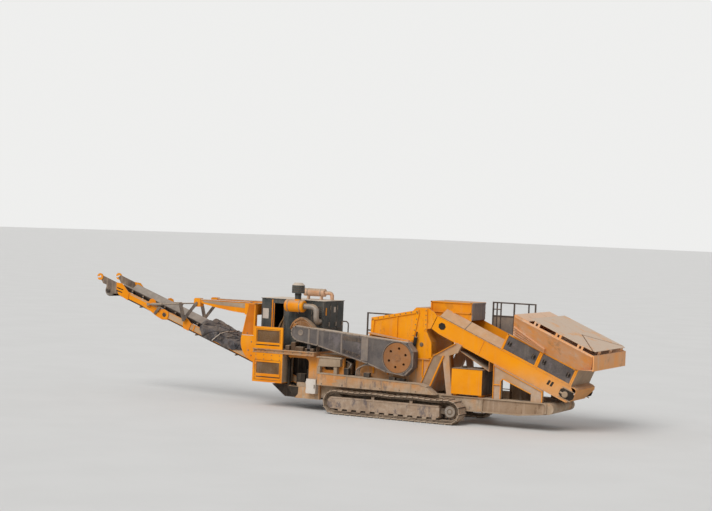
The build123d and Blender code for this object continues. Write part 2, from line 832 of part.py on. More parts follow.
# Cover over the belt: a crumpled sheet, here its outer shape only
cover_from, cover_to = -1360.0, -3120.0
cover_y = conveyor_y + seat
with BuildPart() as dust_cover:
    with BuildSketch(conveyor_cross(cover_from)):
        with BuildLine():
            Polyline((-cover_y, 20), (-cover_y - 22, 20), (-cover_y - 22, 370), (-360, 500), (360, 500),
                     (cover_y + 22, 370), (cover_y + 22, 20), (cover_y, 20), (cover_y, 355), (350, 475),
                     (-350, 475), (-cover_y, 355), close=True)
        make_face()
    extrude(amount=cover_from - cover_to)
write(dust_cover, "dust_cover")
pair("fold_rams", fold_ram)

# Crusher housing: lower box, tilting upper part and upright front frame
with BuildPart() as crusher_lower:
    slab(side, points((-1300, beam_high), (850, beam_high), (920, 1100), (870, split_z), (-1480, split_z),
                      (-1480, 1250)), -housing_y, housing_y)
    box_between(-1500, 865, -housing_y - 50, housing_y + 50, split_z - flange_thick, split_z)
write(crusher_lower, "crusher_lower")

with BuildPart() as crusher_upper:
    slab(side, points((-1200, split_z), (200, split_z), (200, 3010), (-1010, 2760), (-1010, 2350),
                      (-1080, 2300)),
         -housing_y, housing_y)
write(crusher_upper, "crusher_upper")

with BuildPart() as crusher_front:
    slab(side, points((200, split_z), (870, split_z), (820, 2200), (660, 2560), (660, 3150), (340, 3150),
                      (200, 3010)),
         -housing_y, housing_y)
    for sign in (-1, 1):
        slab(side, points((650, 2550), (650, 3150), (730, 3150), (900, 3050), (985, 2950), (812, 2585)),
             sign * housing_y, sign * (housing_y - feeder_plate))
write(crusher_front, "crusher_front")

# Drive guard: hollow case with a round opening over the pulley, on brackets to the housing and the deck
guard_line = points((-3270, 2423), (-3375, 2375), (-3430, 2250), (-3390, 2105), (-3250, 1990), (-2540, 1885),
                    (-930, 1485), (-350, 1290), (230, 1220), (480, 1475), (480, 1915), (300, 2170),
                    (-1210, 2275))
guard_back_y = guard_depth - guard_outer_y
with BuildPart() as drive_guard:
    slab(side, guard_line, -guard_outer_y, guard_back_y)
    box_between(-700, -500, guard_back_y, -housing_y, 1950, 2100)
    box_between(250, 400, guard_back_y, -housing_y, 1950, 2050)
    box_between(-2900, -2800, -1120, -1020, deck_high, 2000)
    with BuildSketch(side(guard_back_y - guard_sheet)):
        with BuildLine():
            Polyline(*inset(guard_line, guard_sheet), close=True)
        make_face()
    extrude(amount=guard_depth - 2 * guard_sheet, mode=Mode.SUBTRACT)
    for start, depth, radius in ((guard_back_y, guard_sheet, shaft_radius + pulley_gap),
                                 (guard_back_y - guard_depth / 2, guard_depth / 2,
                                  pulley_radius + pulley_gap)):
        with BuildSketch(side(start)):
            with Locations((at(pulley_x), pulley_z)):
                Circle(radius)
        extrude(amount=depth, mode=Mode.SUBTRACT)
write(drive_guard, "drive_guard")

pulley_inner_y = -guard_outer_y + pulley_thick
with BuildPart() as drive_pulley:
    for start, depth, radius in ((pulley_inner_y, pulley_thick, pulley_radius),
                                 (-housing_y - 50 - seat, guard_outer_y - housing_y - 30, shaft_radius)):
        with BuildSketch(side(start)):
            with Locations((at(pulley_x), pulley_z)):
                Circle(radius)
        extrude(amount=depth)
    with BuildSketch(side(pulley_inner_y)):
        with Locations((at(pulley_x), pulley_z)):
            with PolarLocations(pulley_radius * 0.63, 6, start_angle=20):
                Circle(38)
    extrude(amount=pulley_thick, mode=Mode.SUBTRACT)
write(drive_pulley, "drive_pulley")

# Inlet hood and rubber curtain
hood_y = skirt_inner_y - 10
with BuildPart() as inlet_hood:
    box_between(660, 1900, -hood_y, hood_y, 3040, 3350)
    box_between(660, 1900, -hood_y + 10, hood_y - 10, 3040, 3340, mode=Mode.SUBTRACT)
    for sign in (-1, 1):
        slab(side, points((660, 2880), (660, 3045), (1900, 3045), (1900, 2790), (1260, 2960), (900, 2880)),
             sign * hood_y, sign * (hood_y - 10))
write(inlet_hood, "inlet_hood")

with BuildPart() as inlet_curtain:
    box_between(1900, 1915, -hood_y, hood_y, 2860, 3350)
write(inlet_curtain, "inlet_curtain")


# Feeder
def feeder_side(sign):
    """Side plate of the feeder with the bent skirt plate above it."""
    outer, inner = sign * feeder_y, sign * skirt_inner_y
    top, low = feeder_top_v, feeder_low_v
    with BuildPart() as plate:
        slab(feeder_plane, [(-260, low + 40), (-240, top), (feeder_tail_u - 40, top),
                            (feeder_tail_u + 140, low + 290),
                            (feeder_tail_u + 30, low), (0, low)], outer, sign * (feeder_y - feeder_plate))
        with BuildSketch(feeder_cross(skirt_u)):
            with BuildLine():
                Polyline((outer, top - 10), (outer, top), (inner, skirt_top_v), (inner, top),
                         (inner + sign * 10, top), (inner + sign * 10, skirt_top_v - 20),
                         (outer - sign * feeder_plate, top - 8), (outer - sign * feeder_plate, top - 10),
                         close=True)
            make_face()
        extrude(amount=hopper_u - skirt_u)
    return plate


feeder_sides = [feeder_side(sign).part for sign in (-1, 1)]
with BuildPart() as feeder_frame:
    add(feeder_sides)
    for u in (900, 1800, 2700, 3500):
        with BuildSketch(feeder_plane(feeder_y - 5)):
            with Locations((u, feeder_low_v + 48)):
                Circle(40)
        extrude(amount=2 * feeder_y - 10)
    with BuildSketch(feeder_plane(feeder_y)):
        with BuildLine():
            Polyline((feeder_tail_u + 30, feeder_low_v), (feeder_tail_u + 148, 60),
                     (feeder_tail_u + 180, 150),
                     (feeder_tail_u + 158, 226), (feeder_tail_u + 90, feeder_top_v),
                     (feeder_tail_u - 60, feeder_top_v),
                     (feeder_tail_u - 60, feeder_top_v - 16), (feeder_tail_u + 84, feeder_top_v - 16),
                     (feeder_tail_u + 142, 212), (feeder_tail_u + 160, 150), (feeder_tail_u + 130, 66),
                     (feeder_tail_u + 12, feeder_low_v), close=True)
        make_face()
    extrude(amount=2 * feeder_y)
write(feeder_frame, "feeder_frame")

feeder_head_u = 60.0
feeder_end_u = feeder_tail_u - 200.0
with BuildPart() as feeder_belt:
    with BuildSketch(feeder_plane(skirt_inner_y - 20)):
        with Locations(((feeder_head_u + feeder_end_u) / 2, feeder_drum_v)):
            SlotCenterToCenter(feeder_end_u - feeder_head_u, 2 * (feeder_drum + seat + belt_thick))
            SlotCenterToCenter(feeder_end_u - feeder_head_u, 2 * (feeder_drum + seat), mode=Mode.SUBTRACT)
    extrude(amount=2 * skirt_inner_y - 40)
write(feeder_belt, "feeder_belt")

with BuildPart() as feeder_drums:
    for u in (feeder_head_u, feeder_end_u):
        for radius, reach in ((feeder_drum, skirt_inner_y - 20), (40, feeder_y - feeder_plate - seat)):
            with BuildSketch(feeder_plane(reach)):
                with Locations((u, feeder_drum_v)):
                    Circle(radius)
            extrude(amount=2 * reach)

drum_solids = [conveyor_drums.part, feeder_drums.part]
with BuildPart() as drums:
    add(drum_solids)
write(drums, "drums")


# Hopper: upright body with two covers on each side, flared walls, and three folding flaps
cover_places = (hopper_u + 70, hopper_u + 1170)
cover_length = 980.0
cover_low_v, cover_high_v = 295.0, 695.0
body_wall = 60.0


def rectangle(u0, u1, v0, v1):
    """Corners of an upright rectangle in the feeder's slope."""
    return [(u0, v0), (u1, v0), (u1, v1), (u0, v1)]


def hopper_side(sign):
    """Upright side panel with recesses for its two covers."""
    outer = sign * feeder_y
    with BuildPart() as panel:
        slab(feeder_plane, rectangle(hopper_u, hopper_end_u, feeder_top_v, panel_top_v), outer,
             outer - sign * body_wall)
        for u in cover_places:
            with BuildSketch(feeder_plane(max(outer, outer - sign * 30))):
                with BuildLine():
                    Polyline(*rectangle(u - 6, u + cover_length + 6, cover_low_v - 6, cover_high_v + 6),
                             close=True)
                make_face()
            extrude(amount=30, mode=Mode.SUBTRACT)
    return panel


def cover_panel(sign):
    """Two bolted cover plates with bow handles."""
    face = sign * (feeder_y - 6)
    with BuildPart() as covers:
        for u in cover_places:
            slab(feeder_plane, rectangle(u, u + cover_length, cover_low_v, cover_high_v), face,
                 sign * (feeder_y - 30))
            for place in (u + 110, u + cover_length - 110):
                slab(feeder_plane, rectangle(place - 12, place + 12, 440, 550), face, sign * (feeder_y + 24))
    return covers


hopper_sides = [hopper_side(sign).part for sign in (-1, 1)]
with BuildPart() as hopper_body:
    add(hopper_sides)
    slab(feeder_plane, rectangle(hopper_end_u, hopper_end_u + 20, feeder_top_v, panel_top_v), -feeder_y,
         feeder_y)
write(hopper_body, "hopper_body")
pair("cover_panels", cover_panel)


def flared(sign):
    """Sloping side wall from the body's top out to the rim."""
    foot, lip = sign * feeder_y, sign * rim_y
    with BuildPart() as wing:
        with BuildSketch(feeder_cross(rim_u)):
            with BuildLine():
                Polyline((foot, panel_top_v), (lip, rim_v - 30), (lip, rim_v), (lip - sign * 40, rim_v),
                         (lip - sign * 40, rim_v - 25), (foot - sign * 18, panel_top_v), close=True)
            make_face()
        extrude(amount=rim_end_u - rim_u)
    return wing


flap_hinge_y = rim_y - 20.0
flap_end_u = rim_end_u - 30.0
side_hinges = (2650.0, 3320.0, 3990.0)
side_hinge_y = flap_hinge_y + hinge_radius
rear_hinges = (-1000.0, 0.0, 1000.0)
rear_hinge_u = flap_end_u + 20.0
hinge_v = rim_v + hinge_rise


def side_barrel(sign, u, length):
    """Hinge barrel along the side rim."""
    with BuildSketch(feeder_cross(u)) as ring:
        with Locations((sign * side_hinge_y, hinge_v)):
            Circle(hinge_radius)
    extrude(ring.sketch, amount=length)


def rear_barrel(y, length):
    """Hinge barrel along the rear rim, from this y towards the near side."""
    with BuildSketch(feeder_plane(y)) as ring:
        with Locations((rear_hinge_u, hinge_v)):
            Circle(hinge_radius)
    extrude(ring.sketch, amount=length)


hopper_wings = [flared(sign).part for sign in (-1, 1)]
back_low, back_high = (5155.0, 1740.0), (apron_x, 1790.0)
with BuildPart() as hopper_walls:
    add(hopper_wings)
    with BuildSketch(side(rim_y)):
        with BuildLine():
            Polyline(*points(back_low, back_high, (apron_x + 100, 1790), (apron_x + 100, 1300),
                             (back_low[0], 1300)),
                     close=True)
        make_face()
    extrude(amount=2 * rim_y, mode=Mode.SUBTRACT)
    slab(feeder_plane, rectangle(rim_u - 16, hopper_front_u, rim_v - 2, rim_v + 12), 40 - rim_y, rim_y - 40)
    with BuildSketch(feeder_cross(rim_u - 16)):
        with BuildLine():
            Polyline((-rim_y, rim_v), (rim_y, rim_v), (rim_y, rim_v - 30), (feeder_y, panel_top_v),
                     (-feeder_y, panel_top_v), (-rim_y, rim_v - 30), close=True)
        make_face()
    extrude(amount=16)
    slab(feeder_plane, rectangle(hopper_end_u + 4, hopper_end_u + 20, panel_top_v, panel_top_v + 12),
         -feeder_y, feeder_y)
    with BuildSketch(Plane(origin=(at(back_low[0]), 0, back_low[1]),
                           x_dir=(back_high[0] - back_low[0], 0, 50.0),
                           z_dir=(-50.0, 0, back_high[0] - back_low[0]))):
        with BuildLine():
            Polyline((0, -feeder_y), (apron_x - back_low[0], -rim_y), (apron_x - back_low[0], rim_y),
                     (0, feeder_y),
                     close=True)
        make_face()
    extrude(amount=14)
    box_between(apron_x - 20, apron_x + 10, -rim_y, rim_y, apron_low, apron_high)
    for sign in (-1, 1):
        for u in side_hinges:
            for start in (u - hinge_length - seat, u + hinge_length + seat):
                side_barrel(sign, start, hinge_length)
                slab(feeder_plane, rectangle(start, start + hinge_length, rim_v - 10, hinge_v),
                     sign * (side_hinge_y - 8), sign * rim_y)
    for y in rear_hinges:
        for start in (y - seat, y + 2 * hinge_length + seat):
            rear_barrel(start, hinge_length)
            slab(feeder_plane, rectangle(rear_hinge_u - 8, rear_hinge_u + 8, rim_v - 20, hinge_v),
                 start, start - hinge_length)
write(hopper_walls, "hopper_walls")


def flap(sign):
    """Folding side flap with a mitred rear corner, lying in the rim's plane."""
    hinge, middle = sign * flap_hinge_y, sign * flap_gap / 2
    u0, u1 = hopper_front_u + 10, flap_end_u
    with BuildPart() as leaf:
        with BuildSketch(feeder_flat(rim_v + flap_lift)):
            with BuildLine():
                Polyline((u0, hinge), (u1 - 60, hinge), (u1 - flap_mitre, middle), (u0, middle), close=True)
            make_face()
        extrude(amount=flap_thick)
        for u in side_hinges:
            side_barrel(sign, u, hinge_length)
            slab(feeder_plane, rectangle(u, u + hinge_length, rim_v + flap_lift, rim_v + flap_lift + 6),
                 sign * side_hinge_y, sign * (flap_hinge_y - 20))
    return leaf


hands("side_flap", flap)

with BuildPart() as rear_flap:
    u0, u1 = flap_end_u - flap_mitre + mitre_gap, flap_end_u + 10
    corner_y = flap_hinge_y - 80
    corner_u = u0 + (flap_mitre - 60) * corner_y / flap_hinge_y
    with BuildSketch(feeder_flat(rim_v + flap_lift)):
        with BuildLine():
            Polyline((u1, -corner_y), (u1, corner_y), (corner_u, corner_y), (u0, 0), (corner_u, -corner_y),
                     close=True)
        make_face()
    extrude(amount=flap_thick)
    for y in rear_hinges:
        rear_barrel(y + hinge_length, hinge_length)
        slab(feeder_plane, rectangle(u1 - 30, rear_hinge_u, rim_v + flap_lift, rim_v + flap_lift + 6),
             y, y + hinge_length)
write(rear_flap, "rear_flap")


# Feeder supports: trestles under the head and plate supports under the tail
def trestle(sign):
    """Splayed legs with a sloping head beam, lapped on the feeder's side."""
    outer, inner = sign * (feeder_y + 90), sign * feeder_y
    with BuildPart() as legs:
        slab(side, points((505, beam_high), (845, beam_high), (1300, 1860), (960, 1870)), outer, inner)
        slab(side, points((1230, 1850), (1430, 1900), (1560, beam_high), (1400, beam_high)), outer, inner)
        slab(side, points((940, 1835), (1276, 2030), (1630, 2235), (1790, 2165), (1690, 1960), (1300, 1830)),
             outer, inner)
    return legs


def rear_support(sign):
    """Plate support under the feeder's tail, open below its sloping beam."""
    outer, inner = sign * (feeder_y + 70), sign * feeder_y
    with BuildPart() as support:
        slab(side, points((2770, beam_high), (3010, beam_high), (3010, 1280), (3060, 1330), (3880, 990),
                          (3880, beam_high), (4220, beam_high), (4220, 1100), (4180, 1130), (2770, 1730)),
             outer, inner)
    return support


pair("feeder_supports", trestle, rear_support)

def feeder_foot_z(x):
    """Height of the feeder's lower edge at this station."""
    a = radians(feeder_slope)
    return feeder_z + feeder_low_v / cos(a) - (x - feeder_station) * sin(a) / cos(a)


# Pan hung under the feeder, and the cabinet between the rear supports
pan_left, pan_right, pan_high, pan_low = 1690.0, 2610.0, 2030.0, 1502.0
with BuildPart() as feeder_pan:
    slab(side, points((pan_left, pan_high), (pan_left, pan_high + 12), (pan_right, pan_low + 12),
                      (pan_right, pan_low)),
         -feeder_y, feeder_y)
    for x, z in ((pan_left, pan_high), (pan_right - 16, pan_low + 9)):
        slab(side, points((x, z), (x + 16, z), (x + 16, feeder_foot_z(x + 16)), (x, feeder_foot_z(x))),
             -feeder_y, feeder_y)
write(feeder_pan, "feeder_pan")

with BuildPart() as tail_cabinet:
    box_between(3050, 3650, -300, 500, beam_high - 60, 1300)
write(tail_cabinet, "tail_cabinet")

# Belly pan between the main beams, with a trough under the conveyor's tail
pan_y = beam_inner_y - 12.0
trough_half = beam_inner_y - 40.0
with BuildPart() as bend_guard:
    box_between(-3600, -1320, -pan_y, pan_y, 300, beam_low + 60 - seat)
    box_between(-3700, -1332, 12 - pan_y, pan_y - 12, 312, beam_high, mode=Mode.SUBTRACT)
    slab(side, points((-4280, 640), (-4280, 628), (-3850, 300), (-3590, 300), (-3470, 640)), -trough_half,
         trough_half)
    with BuildSketch(side(trough_half - 10)):
        with BuildLine():
            Polyline(*points((-4266, 700), (-4266, 632), (-3846, 312), (-3598, 312), (-3482, 640),
                             (-3482, 700)),
                     close=True)
        make_face()
    extrude(amount=2 * trough_half - 20, mode=Mode.SUBTRACT)
write(bend_guard, "bend_guard")

with BuildPart() as hydraulic_tank:
    box_between(1580, 2490, -1000, -120, 840, 1540)
    for x in (1600, 2350):
        box_between(x, x + 100, -880, -640, beam_high, 840)
write(hydraulic_tank, "hydraulic_tank")


# Far side walkways with their rails
def rail(x0, x1, y, floor, middle, top, posts):
    """Handrail of square tube between two stations."""
    box_between(x0, x1, y, y + 40, top - 40, top)
    box_between(x0, x1, y, y + 40, middle - 20, middle + 20)
    for n in range(posts):
        x = x0 + n * (x1 - x0 - 40) / (posts - 1)
        box_between(x, x + 40, y, y + 40, floor, top)


with BuildPart() as feeder_walkway:
    box_between(1750, 3120, feeder_y + 92, 1440, 2300, 2340)
    box_between(1820, 1880, feeder_y, 1400, 2240, 2300)
    box_between(2860, 2920, feeder_y, feeder_y + 92, 1900, 2340)
    rail(1780, 3110, 1400, 2340, 2945, 3350, 3)
write(feeder_walkway, "feeder_walkway")

with BuildPart() as crusher_walkway:
    box_between(-2140, -900, housing_y + 52, 1240, 1650, split_z - 30)
    for x in (-2000, -1000):
        box_between(x, x + 60, 1000, 1060, side_beam_high, 1650)
    rail(-2130, -920, 1200, split_z - 30, 2290, 2820, 3)
write(crusher_walkway, "crusher_walkway")
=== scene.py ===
"""Looks for the tracked crushing plant.

Metres, +Z up, +X towards the hopper, -Y the near side. Stations are counted from the middle of the
tracks, as in the part's source, and plant() turns one into a place.
"""
import random
from math import cos, pi, radians, sin, tau

import bmesh
import bpy
from mathutils import Matrix, Vector, noise


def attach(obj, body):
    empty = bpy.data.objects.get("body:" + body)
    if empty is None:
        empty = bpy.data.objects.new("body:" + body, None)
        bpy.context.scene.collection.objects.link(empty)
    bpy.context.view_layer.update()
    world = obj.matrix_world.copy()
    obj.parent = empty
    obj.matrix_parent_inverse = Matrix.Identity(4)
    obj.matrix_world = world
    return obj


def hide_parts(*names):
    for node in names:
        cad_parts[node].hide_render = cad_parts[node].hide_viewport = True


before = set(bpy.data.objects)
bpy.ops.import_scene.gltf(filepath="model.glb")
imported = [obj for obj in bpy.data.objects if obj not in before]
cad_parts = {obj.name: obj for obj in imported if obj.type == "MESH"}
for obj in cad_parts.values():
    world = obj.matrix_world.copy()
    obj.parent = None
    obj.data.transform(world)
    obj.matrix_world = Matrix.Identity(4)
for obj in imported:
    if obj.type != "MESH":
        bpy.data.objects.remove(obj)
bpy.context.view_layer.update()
draw = random.Random(7)

TRACK_X = 2.4128
FEEDER_X, FEEDER_Z, FEEDER_SLOPE = 1.14, 2.64, radians(23)
CONVEYOR_X, CONVEYOR_Z, CONVEYOR_SLOPE = -8.224, 2.36, radians(19.8)


def plant(x, y, z):
    """Place from a station, y and height."""
    return Vector((TRACK_X + x, y, z))


def feeder(u, y, v):
    """Place from the feeder's slope: u down it, v square to it."""
    return plant(FEEDER_X + u * cos(FEEDER_SLOPE) + v * sin(FEEDER_SLOPE), y,
        FEEDER_Z - u * sin(FEEDER_SLOPE) + v * cos(FEEDER_SLOPE))


def conveyor(s, y, n):
    """Place from the conveyor's slope: s up towards the head, n square to it."""
    return plant(CONVEYOR_X - s * cos(CONVEYOR_SLOPE) + n * sin(CONVEYOR_SLOPE), y,
        CONVEYOR_Z + s * sin(CONVEYOR_SLOPE) + n * cos(CONVEYOR_SLOPE))


def linear(screen):
    """Scene colour from screen values of 0 to 255."""
    return tuple(((c / 255 + 0.055) / 1.055) ** 2.4 if c > 10 else c / 255 / 12.92 for c in screen) + (1,)


# Materials
class Nodes:
    """A node tree, built step by step."""

    def __init__(self, tree):
        self.tree = tree
        tree.nodes.clear()

    def node(self, kind, inputs=(), **settings):
        """Adds a shader node; inputs are (socket, value or output) pairs."""
        made = self.tree.nodes.new("ShaderNode" + kind)
        for name, value in settings.items():
            setattr(made, name, value)
        for socket, value in inputs:
            self.put(made.inputs[socket], value)
        return made

    def put(self, socket, value):
        """Sets a socket, or links an output to it."""
        if isinstance(value, bpy.types.NodeSocket):
            self.tree.links.new(value, socket)
        else:
            socket.default_value = value


class Shader(Nodes):
    """One node material."""

    def __init__(self, name):
        self.material = bpy.data.materials.new(name)
        self.material.use_nodes = True
        super().__init__(self.material.node_tree)
        self.place = self.node("TexCoord")
        self.surface = self.node("BsdfPrincipled")
        self.node("OutputMaterial", [(0, self.surface.outputs[0])])

    def noise(self, scale, detail=4.0, rough=0.55, stretch=(1, 1, 1), shift=0.0):
        """Noise on the object's own coordinates."""
        mapping = self.node("Mapping", [(0, self.place.outputs["Object"]), (1, (shift, shift, shift)),
            (3, stretch)])
        made = self.node("TexNoise", [("Vector", mapping.outputs[0]), ("Scale", scale), ("Detail", detail),
            ("Roughness", rough)])
        return made.outputs[0]

    def span(self, value, low, high, out_low=0.0, out_high=1.0):
        """Maps low..high to out_low..out_high, smoothly and clamped."""
        values = enumerate((value, low, high, out_low, out_high))
        return self.node("MapRange", values, interpolation_type="SMOOTHSTEP").outputs[0]

    def sum(self, operation, a, b):
        """One arithmetic step, clamped to 0..1."""
        return self.node("Math", enumerate((a, b)), operation=operation, use_clamp=True).outputs[0]

    def blend(self, share, a, b):
        """Mixes two colours."""
        return self.node("Mix", [(0, share), (6, a), (7, b)], data_type="RGBA").outputs[2]

    def upright(self, source):
        """Upward share of the object's Normal, or height among its Object coordinates."""
        return self.node("SeparateXYZ", [(0, self.place.outputs[source])]).outputs[2]

    def edges(self, reach):
        """Near 1 along outer edges."""
        soft = self.node("Bevel", [(0, reach)], samples=4)
        true = self.node("NewGeometry")
        dot = self.node("VectorMath", [(0, soft.outputs[0]), (1, true.outputs["Normal"])],
            operation="DOT_PRODUCT")
        return self.span(dot.outputs["Value"], 0.995, 0.93)

    def bump(self, height, strength, distance):
        """Bump from a height."""
        made = self.node("Bump", [("Strength", strength), ("Distance", distance), ("Height", height)])
        self.put(self.surface.inputs["Normal"], made.outputs[0])


DUST, PALE_DUST = (174, 152, 128), (206, 190, 172)
RUST, DARK_RUST = (122, 68, 36), (88, 52, 34)


def weathered(name, colour, second, dust, top, rust, streaks, low=0.0, low_from=0.6, low_to=2.0, rough=0.5,
        metal=0.0, dust_colour=DUST, wear=True, grit=0.4, worn=None, mottle=0.3, gloss=0.12, flaked=0.0,
        under=(92, 86, 90), grain=(1.5, 1.5, 0.7)):
    """Paint or metal with streaks, rust and worn edges. Dust lies on top and gathers low down."""
    s = Shader(name)
    colour, second, dust_colour = linear(colour), linear(second), linear(dust_colour)
    fade = s.span(s.noise(0.9, 5), 0.35, 0.68)
    fine = s.noise(38, 6, 0.7, shift=3.1)
    body = s.blend(fade, colour, second)
    body = s.blend(s.span(fine, 0.42, 0.75, 0.0, mottle), body, s.blend(0.5, second, dust_colour))
    cloud = s.noise(2.3, 8, 0.62, shift=9.4)
    drip = s.noise(5.5, 5, 0.6, stretch=(1.6, 1.6, 0.13), shift=1.7)
    film = s.sum("MULTIPLY", s.span(cloud, 0.3, 0.72), dust * 1.5)
    streak = s.sum("MULTIPLY", s.span(drip, 0.5, 0.72), streaks)
    lying = s.sum("MULTIPLY", s.span(s.upright("Normal"), 0.25, 0.9),
        s.span(cloud, 0.18, 0.46, 0.72 * top, top))
    settled = s.sum("MULTIPLY", s.span(s.upright("Object"), low_to, low_from),
        s.span(cloud, 0.25, 0.55, 0.6 * low, low))
    amount = s.sum("ADD", s.sum("ADD", film, streak), s.sum("MAXIMUM", lying, settled))
    tone = s.blend(s.span(s.noise(7, 6, 0.7, shift=5.0), 0.35, 0.7), dust_colour,
        s.blend(0.35, dust_colour, linear(PALE_DUST)))
    painted = s.blend(amount, body, tone)
    if flaked:
        patch = s.noise(2.4, 10, 0.74, stretch=grain, shift=6.3)
        painted = s.blend(s.span(patch, 0.53, 0.62, 0.0, flaked), painted, linear(under))
    specks = s.sum("MULTIPLY", s.span(s.noise(21, 8, 0.75, shift=2.2), 0.61, 0.69),
        s.span(cloud, 0.42, 0.62, 0, rust))
    rusty = s.blend(fine, linear(RUST), linear(DARK_RUST))
    colour_out = s.blend(specks, painted, rusty)
    if wear:
        chips = s.span(s.noise(13, 6, 0.7, shift=7.7), 0.44, 0.6, 0.0, 0.8)
        chips = s.sum("MULTIPLY", s.edges(0.016), chips)
        colour_out = s.blend(chips, colour_out, linear(worn) if worn else s.blend(fine, rusty, dust_colour))
    s.put(s.surface.inputs["Base Color"], colour_out)
    s.put(s.surface.inputs["Roughness"], s.span(amount, 0.0, 0.7, rough, 0.92))
    s.surface.inputs["Metallic"].default_value = metal
    s.surface.inputs["Specular IOR Level"].default_value = gloss
    s.bump(s.sum("ADD", s.sum("MULTIPLY", fine, 0.35), s.sum("MULTIPLY", s.noise(3.0, 2, shift=4.0),
        0.6)), grit, 0.006)
    return s.material


def woven(name, colour, second, pitch, dust):
    """Dusty woven sheet with a tight weave."""
    s = Shader(name)
    inputs = [("Vector", s.place.outputs["Object"]), ("Scale", pitch), ("Distortion", 0.6)]
    waves = [s.node("TexWave", inputs, bands_direction=way).outputs[1] for way in ("X", "Y", "Z")]
    weave = s.sum("MULTIPLY", s.sum("ADD", waves[0], waves[1]), waves[2])
    cloud = s.noise(2.8, 8, 0.65)
    amount = s.sum("ADD", s.span(cloud, 0.42, 0.7, 0, dust),
        s.sum("MULTIPLY", s.span(s.upright("Normal"), 0.2, 0.95), dust * 0.6))
    body = s.blend(s.span(s.noise(3.4, 6, 0.6, shift=4), 0.38, 0.6), linear(colour), linear(second))
    s.put(s.surface.inputs["Base Color"], s.blend(amount, body, linear(DUST)))
    s.surface.inputs["Roughness"].default_value = 0.85
    s.surface.inputs["Sheen Weight"].default_value = 0.15
    s.bump(weave, 0.35, 0.003)
    return s.material


ORANGE, DEEP_ORANGE = (240, 152, 8), (222, 128, 10)
